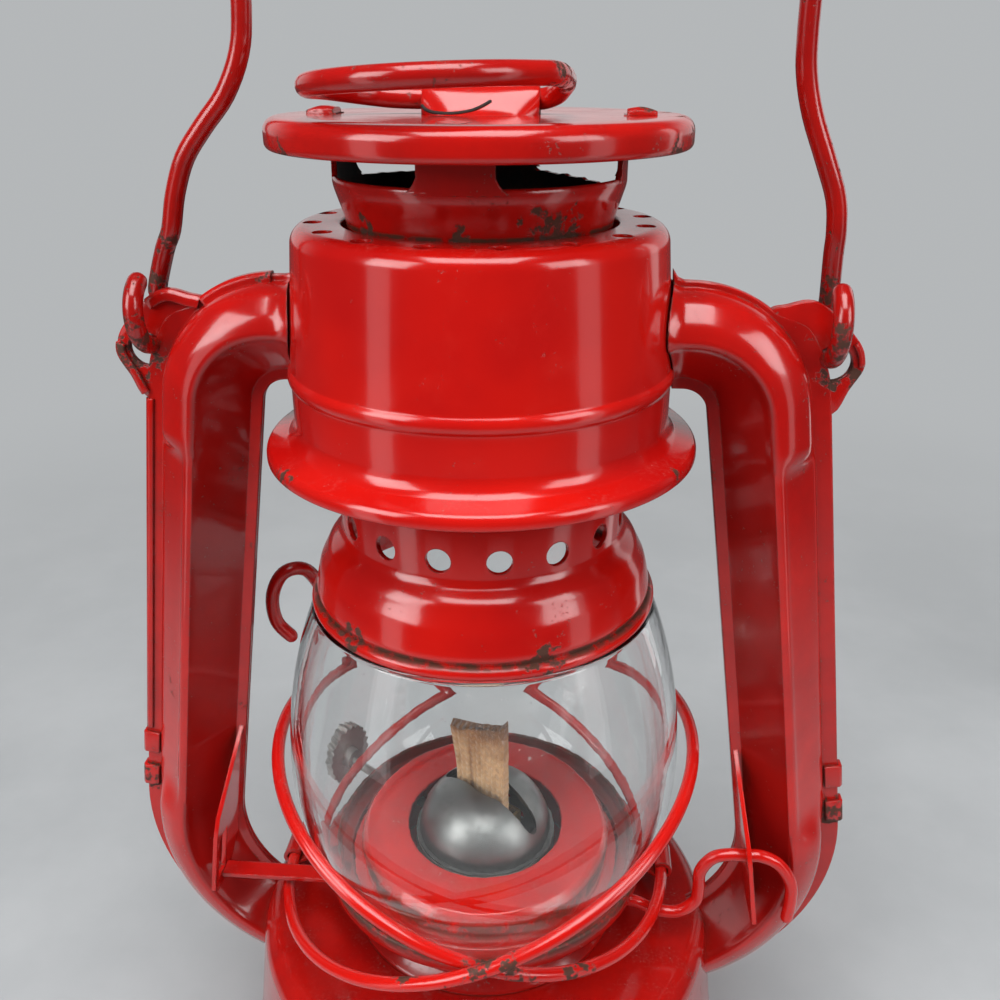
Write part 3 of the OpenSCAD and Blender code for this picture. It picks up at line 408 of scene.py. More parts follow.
def enamel(name, wear=0.5, grime_and_shade=0.5, spots=(), bands=(), dull=0.0, inward=0.0):
    """Red enamel. Wear chips the edges and grime darkens the corners, part real grime and part painted shade.
    Spots are (centre, radius) of rust and bands (height, half width) of dirt, in millimetres. Dull darkens
    the red in patches; inward darkens the faces that look towards the axis, which is painted shade."""
    finish, shader, start, place = new_finish(name, Coat_Roughness=0.05)
    normal = start.add("ShaderNodeNewGeometry", out="Normal")
    clouds, patches = place.noise(38), place.noise(150, 4)
    crumbs, grains = place.noise(560, 5, 0.65), place.noise(1700, 3)
    rounded = start.add("ShaderNodeBevel", {"samples": 4}, {"Radius": EDGE_WIDTH})
    lean = start.add("ShaderNodeVectorMath", {"operation": "DOT_PRODUCT"}, {0: rounded, 1: normal}, 1)
    edge = (1 - lean).between(0.01, 0.12)
    corner = start.corner(CORNER_DEPTH)

    thin = edge * 0.30 + crumbs * 0.62 + patches * 0.35
    chips = thin.between(0.84 - 0.12 * wear, 0.90 - 0.12 * wear) * edge
    specks = grains * 0.5 + crumbs * 0.3 + patches * 0.3
    specks = specks.between(0.70 - 0.05 * wear, 0.74 - 0.05 * wear) * wear
    rust = chips.larger(specks)
    for centre, radius in spots:
        near = place.away(centre, radius)
        rust = rust.larger((near * 0.36 + crumbs * 0.75 + grains * 0.15).between(0.78, 0.85))
    # Painted shade mixed with grime: ambient occlusion darkens the corners, where shade falls.
    dirt_and_shade = (corner * 0.9 + patches * 0.5 - 0.2).between(0.40, 0.95) * grime_and_shade
    for height, half in bands:
        level = start.math("ABSOLUTE", place.part(2) * 1000 - height, 0)
        band = (1 - level.between(half * 0.2, half)) * (crumbs + patches * 0.4).between(0.45, 0.75)
        dirt_and_shade = dirt_and_shade.larger(band)
    # Part dust, part painted sheen: faces that look up are made paler.
    dust_and_sheen = normal.part(2).between(0.55, 1.0) * (grains * 0.5 + patches * 0.5).between(0.50, 0.72) * 0.07

    colour = clouds.between(0.35, 0.7).over(RED, DEEP_RED)
    colour = (patches.between(0.55, 0.8) * 0.25).over(colour, FADED_RED)
    # Dull darkens the red in patches; on the fount and the plate this is painted shade.
    if dull:
        colour = (patches * 0.5 + crumbs * 0.3 - 0.4 + dull).over(colour, DULL_AND_SHADE_RED)
    if inward:  # painted shade: faces that look towards the axis are darkened, as they lie in shade
        facing_axis_shade = (normal.part(0) * place.part(0) * -40).between(0.1, 1.2)
        colour = (facing_axis_shade * inward).over(colour, DULL_AND_SHADE_RED)
    colour = dust_and_sheen.over(colour, DUST_SHEEN)
    colour = dirt_and_shade.over(colour, crumbs.between(0.4, 0.65).over(GRIME_SHADE, RUST))
    colour = rust.over(colour, crumbs.between(0.42, 0.6).over(DARK_STEEL, RUST))
    rough = 0.11 + patches * 0.09 + dust_and_sheen * 1.2 + dirt_and_shade * 0.35 + rust * 0.5
    coat = (1 - rust.larger(dirt_and_shade)) * 0.3
    height = clouds * 2.0 + patches * 0.3 + crumbs * 0.03 - rust * 0.35 - rust * grains * 0.4
    bump = start.bump(0.5, PEEL_DEPTH, height, Normal=rounded)
    return feed(finish, shader, Base_Color=colour, Roughness=rough, Coat_Weight=coat, Normal=bump)


red_enamel = enamel("red_enamel")
print("enamel:", len(red_enamel.node_tree.nodes), "nodes")

# %% [markdown]
# ## Bare metals, cork and soot
# The burner cone is spun from steel and streaked by cleaning. Inner steel is rusty where it is sheltered, the
# brass of the wick works is tarnished, and its knob is nickelled. Soot and cork are matt: two noises mixed.

# %% Metals
def metal(name, bright, dull, rough, brushed=(1, 1, 1)):
    """Bare metal with stains and some rust; brushed stretches the fine lines along an axis."""
    finish, shader, start, place = new_finish(name, Metallic=1.0)
    patches, crumbs = place.noise(170, 4), place.noise(700, 4, 0.65)
    lines = place.noise(900, 2, 0.5, brushed)
    corner = start.corner(0.003)
    stain = (patches * 0.7 + crumbs * 0.35 + corner * 0.35).between(0.50, 0.85)
    rust = (patches * 0.5 + crumbs * 0.6 + corner * 0.3).between(0.86, 0.95)
    colour = rust.over(stain.over(bright, dull), RUST)
    bump = start.bump(0.3, 0.00008, lines * 0.5 + crumbs * 0.3 + patches)
    return feed(finish, shader, Base_Color=colour, Metallic=1 - rust * 0.8,
                Roughness=rough + stain * 0.18 + lines * 0.08 + rust * 0.3, Normal=bump)


cone_steel = metal("cone_steel", (0.215, 0.22, 0.215, 1), (0.14, 0.14, 0.135, 1), 0.34, (1, 1, 0.15))
dull_steel = metal("dull_steel", (0.42, 0.41, 0.39, 1), (0.17, 0.15, 0.13, 1), 0.38)
old_brass = metal("old_brass", (0.50, 0.34, 0.13, 1), (0.17, 0.11, 0.05, 1), 0.34)
nickelled = metal("nickelled_brass", (0.46, 0.45, 0.43, 1), (0.27, 0.25, 0.22, 1), 0.45)
print("metals:", cone_steel.name, dull_steel.name, old_brass.name, nickelled.name)

# %% Soot and cork
def matt(name, colour, other, scale, rough):
    finish, shader, start, place = new_finish(name)
    patches, grains = place.noise(scale, 4, 0.6), place.noise(scale * 6, 3)
    mixed = (patches * 0.7 + grains * 0.3).between(0.40, 0.62).over(colour, other)
    bump = start.bump(0.4, 0.0002, patches + grains * 0.4)
    return feed(finish, shader, Base_Color=mixed, Roughness=rough + patches * 0.1, Normal=bump)


# Soot inside the chimney and cap; the same finish paints the shade in the saddle's slit.
soot_and_slit_shade = matt("soot_and_slit_shade", SOOT_AND_SHADE, (0.035, 0.016, 0.012, 1), 210, 0.72)
cork = matt("cork", (0.20, 0.11, 0.055, 1), (0.09, 0.045, 0.022, 1), 900, 0.75)
print("matt finishes:", soot_and_slit_shade.name, cork.name)

# %% [markdown]
# ## Glass
# The globe is a blown shell with two surfaces, so light bends twice as in the real one. Lamp light should
# pass to the burner, so shadow rays see clear film. Dust and wiped streaks make it rougher and paler.

# %% Clear glass with dust
def clear_glass(name):
    finish, shader, start, place = new_finish(name, Transmission_Weight=1.0, IOR=1.47)
    clouds, crumbs = place.noise(60, 4, 0.6), place.noise(850, 3, 0.6)
    streaks = place.noise(120, 3, 0.6, (1, 1, 0.2))
    haze = (clouds * 0.6 + streaks * 0.5).between(0.55, 0.85)
    specks = (crumbs * 0.8 + clouds * 0.3).between(0.73, 0.78)
    colour = (haze * 0.35).over((0.985, 0.992, 0.99, 1), (0.93, 0.92, 0.90, 1))
    bump = start.bump(0.10, 0.0004, clouds)
    feed(finish, shader, Base_Color=colour, Roughness=haze * 0.03 + specks * 0.06, Normal=bump)
    film = start.add("ShaderNodeBsdfTransparent", {}, {"Color": (0.94, 0.95, 0.95, 1)})
    lamp_ray = start.add("ShaderNodeLightPath", out="Is Shadow Ray")
    glass = Field(finish.node_tree, shader.outputs["BSDF"])
    dust = start.add("ShaderNodeBsdfDiffuse", {}, {"Color": (0.70, 0.68, 0.66, 1)})
    dusted = start.add("ShaderNodeMixShader", {}, {0: haze * 0.035 + specks * 0.25, 1: glass, 2: dust})
    lit = start.add("ShaderNodeMixShader", {}, {0: lamp_ray, 1: dusted, 2: film})
    set_surface(finish, lit)
    return finish


globe_glass = clear_glass("globe_glass")
print("glass:", globe_glass.name)

# %% [markdown]
# ## Cotton wick
# A flat lamp wick is plaited cotton, pale tan where it is clean and dark brown where it has burnt.
# The weave is a wave across the strip and one along it; the char is a mask on height.

# %% Plaited cotton
WICK_TOP, WICK_TURN = 92.5, -32
TAN, SCORCH_AND_SHADE, CHAR = (0.46, 0.27, 0.13, 1), (0.24, 0.105, 0.035, 1), (0.13, 0.055, 0.020, 1)


def cotton(name):
    finish, shader, start, place = new_finish(name, Sheen_Weight=0.25)
    crumbs, patches = place.noise(900, 4, 0.6), place.noise(260, 3)
    turned = start.add("ShaderNodeVectorRotate", {"rotation_type": "Z_AXIS"},
                       {"Vector": place, "Angle": math.radians(-WICK_TURN)})
    across = start.add("ShaderNodeMath", {"operation": "SINE"}, {0: turned.part(0) * 5200})
    along = start.add("ShaderNodeMath", {"operation": "SINE"}, {0: place.part(2) * 4300 + across * 1.2})
    height = place.part(2) * 1000 + patches * 7
    scorched = height.between(WICK_TOP - 4, WICK_TOP + 3)
    charred = height.between(WICK_TOP + 1.5, WICK_TOP + 4.5)
    colour = (crumbs * 0.6 + along * 0.05 + across * 0.08).between(0.2, 0.6).over(
        patches.between(0.4, 0.7).over(TAN, (0.34, 0.18, 0.075, 1)), (0.52, 0.33, 0.18, 1))
    # Painted shade: a dark line along the crease of the fold.
    fold_shade = start.math("ABSOLUTE", turned.part(0) * 1000 + 2.3 + patches * 0.5, 0)
    colour = ((1 - fold_shade.between(0.15, 0.6)) * 0.8).over(colour, SCORCH_AND_SHADE)
    colour = charred.over(scorched.over(colour, SCORCH_AND_SHADE), CHAR)
    bump = start.bump(0.7, 0.0003, across * 0.5 + along * 0.25 + crumbs)
    return feed(finish, shader, Base_Color=colour, Roughness=0.85 + crumbs * 0.1, Normal=bump)


wick_cotton = cotton("wick_cotton")
print("cotton:", wick_cotton.name)

# %% [markdown]
# ## Fount
# The fount is a pressed can with a rolled foot and a rounded shoulder; the deck carries burner and filler.
# It could be a cylinder with bevels, but turning one outline keeps the wall thickness and the soft shoulder.

# %% Fount and air bell
SHEET = 0.8
DECK, FOOT_R, BEAD_H, SHOULDER_R, SHOULDER_Z = 53.5, 50.0, 3.2, 44.2, 49.5
SEAT_R, FILLER_Y, FILLER_R = 13.2, 34.0, 5.6
# Painted shade: dull darkens the fount and bell, which lie in shade under the globe.
enamel_low = enamel("enamel_fount", wear=0.6, grime_and_shade=0.8, dull=0.5)


def fount_side(inset):
    return [(FOOT_R - inset, BEAD_H), (SHOULDER_R - inset, SHOULDER_Z)] + arc(
        (SHOULDER_R - 4, SHOULDER_Z), 4 - inset, 8, 90, 10)


fount_outline = [(FOOT_R - 2, 0), (FOOT_R - 0.4, 0)] + arc((FOOT_R - 0.9, BEAD_H / 2), 1.5, -60, 60, 10)
fount_outline += fount_side(0) + [(SEAT_R, DECK), (SEAT_R, DECK - SHEET)]
fount_outline += list(reversed(fount_side(SHEET))) + [(FOOT_R - 2, BEAD_H)]
Sketch().lathe(soften(fount_outline, 0.5)).piece(
    "fount_can", "frame", enamel_low, "red_enamel", ["fount_body"],
    cutter=Sketch().rod((0, FILLER_Y, DECK - 5), (0, 0, 1), FILLER_R, 10))

BELL_H, BELL_HOLES = 10.7, 18
bell_outline = [(22.6, DECK), (26, DECK), (26, DECK + SHEET), (23.6, DECK + 2.6), (23.6, DECK + BELL_H - 2.4),
                (26.6, DECK + BELL_H - SHEET), (26.6, DECK + BELL_H), (22.6, DECK + BELL_H)]
bell_holes = Sketch()
for i in range(BELL_HOLES):
    way = spoke(360 * i / BELL_HOLES + 7)
    bell_holes.rod(way * 20 + Vector((0, 0, DECK + BELL_H / 2)), way, 1.5, 8)
wick_way, wick_side = spoke(WICK_TURN), spoke(WICK_TURN + 90)
SHAFT = wick_side * 5.2 + Vector((0, 0, 59.5))
bell_holes.rod(SHAFT - wick_way * 18, -wick_way, 1.06, 14)
Sketch().lathe(soften(bell_outline, 0.6)).piece(
    "burner_bell", "frame", enamel_low, "red_enamel", ["air_bell"], cutter=bell_holes)

# %% [markdown]
# ## Burner cone and wick
# The cone is a spun dome over the burner with a slot for the flame. The wick stands out of the slot, cut
# a little askew; a subdivided strip with a ragged top reads as cloth where a box would not.

# %% Burner cone
CONE_Z, CONE_R, CONE_H, SLOT_W = 69.5, 12.8, 11.0, 4.8
quarter = [math.radians(a) for a in range(0, 91, 5)]
dome_out = [(CONE_R * math.cos(a), CONE_Z + 0.4 + (CONE_H - 0.4) * math.sin(a)) for a in quarter]
dome_in = [((CONE_R - SHEET) * math.cos(a), CONE_Z + (CONE_H - SHEET) * math.sin(a)) for a in quarter]
cone_outline = [(CONE_R + 0.6, CONE_Z), (CONE_R + 0.6, CONE_Z + 0.4)] + dome_out + dome_in[::-1]
slot_line = arc((10.2, 0), SLOT_W / 2 - 0.7, -80, 80) + arc((1.0, -6.6), SLOT_W / 2 + 7.2, 70, 110)
slot_line += arc((-7.8, 0), SLOT_W / 2 - 0.8, 100, 260) + arc((1.0, 6.6), SLOT_W / 2 + 7.2, 250, 290)
slot = Sketch().plate(
    slot_line, lambda u, v, depth: wick_way * u + wick_side * v + Vector((0, 0, CONE_Z + 4 + depth)), 12)
Sketch().lathe(cone_outline, 128).piece(
    "spun_cone", "frame", cone_steel, "bare_steel", ["burner_cone"], cutter=slot)

# %% Wick strip, which leans and twists where it is out of its tube
WICK_W, WICK_T, WICK_LOW, WICK_ROWS = 12.7, 2.2, 18.2, 60
TWIST, LEAN = 12, 0.6
rows = []
for j in range(WICK_ROWS + 1):
    z = WICK_LOW + (WICK_TOP - 0.6 - WICK_LOW) * j / WICK_ROWS
    row, bare, free = [], ramp(z, 66, 76), ramp(z, 82, 92)
    along, side = wick_way.copy(), wick_side.copy()
    for way in (along, side):
        way.rotate(Euler((0, 0, math.radians(TWIST * free))))
    for a in turns(36):
        x = (WICK_W / 2 - 0.1) * max(-1, min(1, 1.25 * math.cos(a)))
        y = (WICK_T / 2 - 0.1) * max(-1, min(1, 1.6 * math.sin(a)))
        ragged = (0.45 * math.sin(9 * x + 3 * y) + 0.4 * math.sin(4.1 * x + 1)) * ramp(j, 52, 60)
        skew = x * (0.36 if x > 0 else 0.05) * free
        furrow = (0.16 * math.cos(2.4 * x) + 0.4 * math.exp(-((x + 1.2) / 0.4) ** 2)) * (1 if y > 0 else -1)
        reach = x * (1 - 0.1 * bare) - LEAN * bare - LEAN * free
        point = along * reach + side * (y - furrow * min(1, abs(y)))
        row.append((point.x, point.y, z + ragged + skew))
    rows.append(row)
Sketch().grid(rows, close_columns=True, caps=True).piece(
    "plaited_wick", "wick", wick_cotton, "wick_cotton", ["wick"])

# %% [markdown]
# ## Globe plate and glass
# The globe stands on a pressed plate with a raised ring inside the glass. Two curled lugs hold the guard
# wires, and a tongue on the left runs in the guide.

# %% Globe plate
PLATE_Z, PLATE_R, RING_R, HOLE_R, RING_TOP = 64.4, 30.8, 24.3, 15.0, 71.3
GUARD_D = 2.3
GUARDS = {"left": (Vector((-1.5, 0, 78.2)), 39.2, 23), "right": (Vector((0, 0, 77.1)), 41.6, -23)}
plate_outline = [(HOLE_R, RING_TOP - SHEET), (RING_R - 1.6, RING_TOP - SHEET), (RING_R - SHEET, RING_TOP - 2),
                 (RING_R - SHEET, PLATE_Z), (PLATE_R - 0.6, PLATE_Z), (PLATE_R, PLATE_Z + 0.6),
                 (PLATE_R, PLATE_Z + 3.4), (PLATE_R - SHEET, PLATE_Z + 3.4),
                 (PLATE_R - SHEET, PLATE_Z + SHEET), (RING_R, PLATE_Z + SHEET), (RING_R, RING_TOP - 1.4),
                 (RING_R - 1.2, RING_TOP), (HOLE_R, RING_TOP)]
plate = Sketch().lathe(soften(plate_outline, 0.5))


def guard_point(side, angle):
    """A point on the tilted ring of one guard wire."""
    centre, radius, tilt = GUARDS[side]
    a, t = math.radians(angle), math.radians(tilt)
    return centre + radius * Vector((math.cos(a) * math.cos(t), math.sin(a), -math.cos(a) * math.sin(t)))


def curled_lug(sketch, low):
    """A strip from the plate rim that is curled round the low end of a guard wire."""
    side = 1 if low.x > 0 else -1
    rim = Vector((PLATE_R - 1.2, PLATE_Z + 0.4))
    curl = Vector((abs(low.x), low.z))
    radius = GUARD_D / 2 + 0.15 + 0.4
    start = math.atan2(rim.y - curl.y, rim.x - curl.x) + 0.9
    line = [rim] + [curl + radius * Vector((math.cos(start + t), math.sin(start + t)))
                    for t in (0.55 * k for k in range(10))]
    line = smooth_curve([(p.x, p.y, 0) for p in line], 2)
    strip_rows = []
    for i, p in enumerate(line):
        t = tangent(line, i)
        n = Vector((-t.y, t.x, 0)) * 0.38
        corners = [(p + n, -3), (p + n, 3), (p - n, 3), (p - n, -3)]
        strip_rows.append([(side * q.x, y, q.y) for q, y in corners])
    sketch.grid(strip_rows, close_columns=True, caps=True)


curled_lug(plate, guard_point("left", 0))
curled_lug(plate, guard_point("right", 180))
TONGUE_END = 49.2
plate.plate([(-TONGUE_END, -12.4), (-26.1, -12.4), (-26.1, -9.0), (-TONGUE_END, -9.0)],
            lambda x, y, depth: (x, y, PLATE_Z + depth), SHEET)
# Painted shade: dull darkens the plate, which lies in shade under the dome.
plate_enamel = enamel("enamel_plate", wear=0.3, grime_and_shade=0.8, dull=0.35, bands=[(68.4, 3.0)])
plate.piece("pressed_plate", "globe_frame", plate_enamel, "red_enamel", ["globe_plate"])

# %% Guard rings, with rust where the wire is rubbed in front
guard_enamel = enamel("enamel_guard", wear=0.6, spots=[
    ((6, -41, 75), 14), ((20, -36, 70), 9), ((-9, -38, 76), 7)])
for side in GUARDS:
    Sketch().wire([guard_point(side, 360 * i / 144) for i in range(144)], GUARD_D, 18, closed=True).piece(
        "guard_wire_" + side, "globe_frame", guard_enamel, "red_enamel", ["guard_ring_" + side])

# %% Glass globe
GLOBE_Z, GLOBE_TOP, GLOBE_R, WIDE_H = 65.2, 122.6, 35.6, 24.8
FOOT_GLASS, MOUTH_GLASS, GLASS_T = 27.6, 29.1, 1.8


def globe_side(inset, count=26):
    """Two arcs that meet at the widest place, from the foot up to the mouth."""
    wide = GLOBE_Z + WIDE_H
    made = []
    for end_r, rise, way in ((FOOT_GLASS, wide - GLOBE_Z, -1), (MOUTH_GLASS, GLOBE_TOP - wide, 1)):
        sag = GLOBE_R - end_r
        radius = (rise * rise + sag * sag) / (2 * sag)
        reach = math.asin(rise / radius)
        for i in range(count + 1):
            a = -reach * (1 - i / count) if way < 0 else reach * i / count
            if way > 0 and i == 0:
                continue
            made.append((GLOBE_R - radius + (radius - inset) * math.cos(a), wide + radius * math.sin(a)))
    return made


globe_outline = soften(globe_side(0) + list(reversed(globe_side(GLASS_T))), 0.7, 4)
Sketch().lathe(globe_outline, 192).piece("blown_globe", "globe_frame", globe_glass, "clear_glass", ["globe"])

# %% Hook wire on the left guard
hook_foot = guard_point("left", 150) + Vector((0, 0, GUARD_D / 2 + 0.4))
hook_route = [(0, 0, 0), (0.9, -2, 7), (1, -4, 14), (0, -7.4, 22), (-2.1, -9.4, 26.4), (-5.6, -11, 26.2),
              (-7.9, -11.6, 21.6), (-7.5, -12, 16.4), (-5, -12, 13.2)]
Sketch().wire(smooth_curve([hook_foot + Vector(p) for p in hook_route], 6), 2.6).piece(
    "bent_hook", "globe_frame", guard_enamel, "red_enamel", ["hook_wire"])

# %% [markdown]
# ## Side tubes
# Each tube is two pressed halves seamed in the middle plane. Their cross-section changes: fat and round in
# the bends, flat with a ridge along the leg. A loft does this: the section is drawn at many stations along
# the route, and the two outlines are mixed from one to the other.

# %% Route and sections of a tube
ELBOW, ELBOW_R, SPLAY = Vector((31.5, 155.7)), 23.1, 8.6
BEND_R, BEND_END, LEG_LEN = 40.0, -72.0, 84.02
TUBE_W, TUBE_DEPTH, OUTER_FLANGE, INNER_FLANGE, RIDGE = 19.0, 8.2, 2.7, 1.9, 9.9
BODY_END = TUBE_W - INNER_FLANGE


def heading(angle):
    """The direction at an angle in the seam plane."""
    a = math.radians(angle)
    return Vector((math.cos(a), math.sin(a)))


leg_top = ELBOW + ELBOW_R * heading(SPLAY)
leg_down = Vector((math.sin(math.radians(SPLAY)), -math.cos(math.radians(SPLAY))))
bend_centre = leg_top + LEG_LEN * leg_down - BEND_R * heading(SPLAY)

leg_edge = [(OUTER_FLANGE, SHEET), (OUTER_FLANGE + 0.7, SHEET + 1.7), (RIDGE - 1.9, TUBE_DEPTH - 1.3),
            (RIDGE - 1.1, TUBE_DEPTH - 0.25), (RIDGE - 0.3, TUBE_DEPTH), (RIDGE + 0.5, TUBE_DEPTH - 0.15),
            (RIDGE + 1.1, TUBE_DEPTH - 1.0), (BODY_END - 0.9, SHEET + 0.9), (BODY_END, SHEET)]
bend_edge = [(OUTER_FLANGE + 0.5, SHEET), (OUTER_FLANGE + 0.8, SHEET + 2.4),
             (OUTER_FLANGE + 1.3, TUBE_DEPTH - 3.3), (OUTER_FLANGE + 2.3, TUBE_DEPTH - 1.9),
             (OUTER_FLANGE + 4.7, TUBE_DEPTH - 0.2), (RIDGE - 0.3, TUBE_DEPTH + 0.5),
             (RIDGE + 0.7, TUBE_DEPTH + 0.1), (RIDGE + 1.4, TUBE_DEPTH - 1.1),
             (BODY_END - 0.9, SHEET + 1.1), (BODY_END, SHEET)]


def even(points, count):
    """The same line with evenly spaced points."""
    points = [Vector(p) for p in points]
    lengths = [0.0]
    for a, b in zip(points, points[1:]):
        lengths.append(lengths[-1] + (b - a).length)
    made = []
    for i in range(count + 1):
        want, k = lengths[-1] * i / count, 0
        while k < len(points) - 2 and lengths[k + 1] < want:
            k += 1
        share = (want - lengths[k]) / max(lengths[k + 1] - lengths[k], 1e-9)
        made.append(points[k].lerp(points[k + 1], min(max(share, 0), 1)))
    return made


def section(edge, ridge_at):
    """An edge with soft corners, as evenly spaced points on both sides of its ridge."""
    low = smooth_curve([(u, v, 0) for u, v in edge[:ridge_at + 1]], 6)
    high = smooth_curve([(u, v, 0) for u, v in edge[ridge_at:]], 6)
    return even(low, 22) + even(high, 16)[1:]


leg_section, bend_section = section(leg_edge, 4), section(bend_edge, 5)


def soft_step(value, low, high):
    t = ramp(value, low, high)
    return t * t * (3 - 2 * t)


LOW_TOP = 2.3  # how far the top edge of the elbow lies below the seam's arc
ELBOW_STEPS, LEG_STEPS, BEND_STEPS = 28, 60, 32
stations = []
for x in (28.0, 29.2, 30.3):
    stations.append((Vector((x, ELBOW.y + ELBOW_R)), Vector((0, 1)), 1.0, LOW_TOP))
for i in range(ELBOW_STEPS + 1):
    turn = 90 + (SPLAY - 90) * i / ELBOW_STEPS
    stations.append((ELBOW + ELBOW_R * heading(turn), heading(turn), 1.0, LOW_TOP * soft_step(turn, 36, 52)))
for i in range(1, LEG_STEPS + 1):
    s = LEG_LEN * i / LEG_STEPS
    round_share = max(1 - soft_step(s, 6.4, 10.2), soft_step(s, LEG_LEN - 7, LEG_LEN + 1))
    stations.append((leg_top + s * leg_down, heading(SPLAY), round_share, 0.0))
for i in range(1, BEND_STEPS + 1):
    way = heading(SPLAY + (BEND_END - SPLAY) * i / BEND_STEPS)
    stations.append((bend_centre + BEND_R * way, way, 1.0, 0.0))
print("tube:", len(stations), "stations,", len(leg_section), "points a section")

# %% Lofted tube halves
SEAM_GAP = 0.06
DOME_LOW_R, DOME_TOP_R, DOME_GAP, END_LIP = 29.4, 28.2, 0.4, 0.7


def dome_radius(z):
    return DOME_LOW_R + (DOME_TOP_R - DOME_LOW_R) * ramp(z, 163, 181)


def tube_half(sketch, side, face):
    """One pressed half; side is 1 on the right, face is -1 in front."""
    loft = []
    for index, (seam, way, round_share, top) in enumerate(stations):
        lip = END_LIP * (1.0, 0.25, 0.0)[min(index, 2)]
        top -= lip * (2.4 if side > 0 else 0.5)
        points = [(top + 0.12, SEAM_GAP), (top, 0.2), (top, SHEET - 0.15), (top + 0.15, SHEET)]
        for a, b in zip(leg_section, bend_section):
            p = a.lerp(b, round_share)
            points.append((p.x - (lip if p.x < RIDGE else -lip * 0.5), p.y + lip * min(p.y / 3, 1)))
        points += [(TUBE_W - 0.15, SHEET), (TUBE_W, SHEET - 0.15), (TUBE_W, 0.2), (TUBE_W - 0.12, SEAM_GAP)]
        row = []
        for u, v in points:
            flat = seam - u * way
            x = flat.x
            if index < 3:
                nearest = math.sqrt((dome_radius(flat.y) + DOME_GAP) ** 2 - v * v)
                x = nearest + (ELBOW.x - nearest) * (0.0, 0.3, 0.65)[index]
            row.append((side * x, face * v, flat.y))
        loft.append(row)
    sketch.grid(loft, close_columns=True, caps=True)


EAR_AT = 21.0
ear_hole = ELBOW + (ELBOW_R + 0.9) * heading(EAR_AT)
EAR_HOLE_R = 2.8
ear_line = [(-3.2, 3), (0.3, 1.5), (2.6, 10), (5.0, 16), (5.55, 20), (5.5, 24), (4.8, 30), (3.6, 40),
            (2.3, 45.5), (-0.4, 50), (-2.0, 53.5), (-3.8, 54.5)]  # (height over the seam, angle)


def ear_points(trim=0.0):
    """Outline of an ear outside the seam, drawn round the centre of the elbow."""
    soft = smooth_curve([(r, a, 0) for r, a in ear_line], 4)
    return [ELBOW + (ELBOW_R + p.x - trim) * heading(p.y) for p in soft]


tube_spots = {"left": [((-55, 0, 163), 8), ((-66, 0, 78), 7), ((-33, -2, 178), 5), ((-52, -8, 150), 4)],
              "right": [((55, 0, 163), 7), ((66, 0, 78), 7), ((45, -10, 72), 7), ((52, -8, 150), 4)]}
for label, side in (("left", -1), ("right", 1)):
    # Painted shade: inward darkens the faces of each tube that look towards the axis, which lie in shade.
    tube_enamel = enamel("enamel_tube_" + label, wear=0.6, grime_and_shade=0.75, dull=0.22, inward=0.62,
                         spots=tube_spots[label])
    for half, face in (("front", -1), ("rear", 1)):
        node = f"{label}_tube_{half}"
        shell = Sketch()
        tube_half(shell, side, face)
        shell.piece(f"{node}_pressing", "frame", tube_enamel, "red_enamel", [node])
        ear = Sketch()
        ear.plate([(p.x, p.y) for p in ear_points()],
                  lambda x, z, depth: (side * x, face * (SEAM_GAP / 2 + depth), z), SHEET - SEAM_GAP)
        hole = Sketch().rod((side * ear_hole.x, -5, ear_hole.y), (0, 1, 0), EAR_HOLE_R, 10)
        ear.piece(f"{label}_ear_{half}", "frame", tube_enamel, "red_enamel", cutter=hole, bevel=0.16)

# %% [markdown]
# ## Hems and tabs
# The rear half is folded round the front one to hold the tube shut: a hem over the left elbow and down that
# leg, rims on the ears and two tabs low on each leg. Strips with a folded section follow the seam for this.

# %% Hems, rims and tabs
def folded_strip(sketch, side, line, lap, out=0.45, deep=1.45):
    """Sheet of the rear half that is folded over the front one along a line in the seam plane."""
    loop = [(-lap, SHEET), (-lap, deep - 0.15), (0.15 - lap, deep), (out - 0.5, deep), (out, deep - 0.5),
            (out, 0.9 - deep), (out - 0.3, -SHEET), (0.02, -SHEET), (0.02, SHEET)]
    rows = []
    for i, p in enumerate(line):
        t = tangent(line, i)
        outward = Vector((t.y, -t.x)) if (line[-1] - line[0]).y > 0 else Vector((-t.y, t.x))
        rows.append([(side * (p + u * outward).x, -v, (p + u * outward).y) for u, v in loop])
    sketch.grid(rows, close_columns=True, caps=True)


def leg_line(start, end, steps=1):
    """Points on the outer seam of the leg, from the lower end up."""
    return [leg_top + (end + (start - end) * i / steps) * leg_down for i in range(steps + 1)]


TABS_AT, TAB_LEN = (LEG_LEN - 13, LEG_LEN - 5), 4.6
for label, side in (("left", -1), ("right", 1)):
    seam_enamel = bpy.data.materials["enamel_tube_" + label]
    tabs = Sketch()
    for start in TABS_AT:
        folded_strip(tabs, side, leg_line(start, start + TAB_LEN), 2.5, 0.75, 1.55)
    tabs.piece(label + "_seam_tabs", "frame", seam_enamel, "red_enamel", bevel=0.2)
    rim, outer = Sketch(), ear_points(0.3)
    if label == "left":
        folded_strip(rim, side, outer[5:17], 1.2)
        folded_strip(rim, side, outer[27:41][::-1], 1.4)
        hem = [ELBOW + (ELBOW_R - LOW_TOP) * heading(88 - 34 * i / 20) for i in range(21)]
        folded_strip(rim, side, hem, 1.7)
        folded_strip(rim, side, leg_line(3, LEG_LEN - 14, 20), 1.1, 0.3, 1.25)
    else:
        folded_strip(rim, side, outer[13:22], 0.8, 0.3, 1.2)
    rim.piece(label + "_folded_rims", "frame", seam_enamel, "red_enamel", bevel=0.12)
print("tabs fold over the seam at", TABS_AT, "mm down each leg")

# %% [markdown]
# ## Dome, collar, chimney and cap
# The hot parts of the top are four turned pressings. The dome has a stamped bead and a ring of vents, the
# collar sits on the globe with a rolled edge, and the chimney carries the cap on four posts.

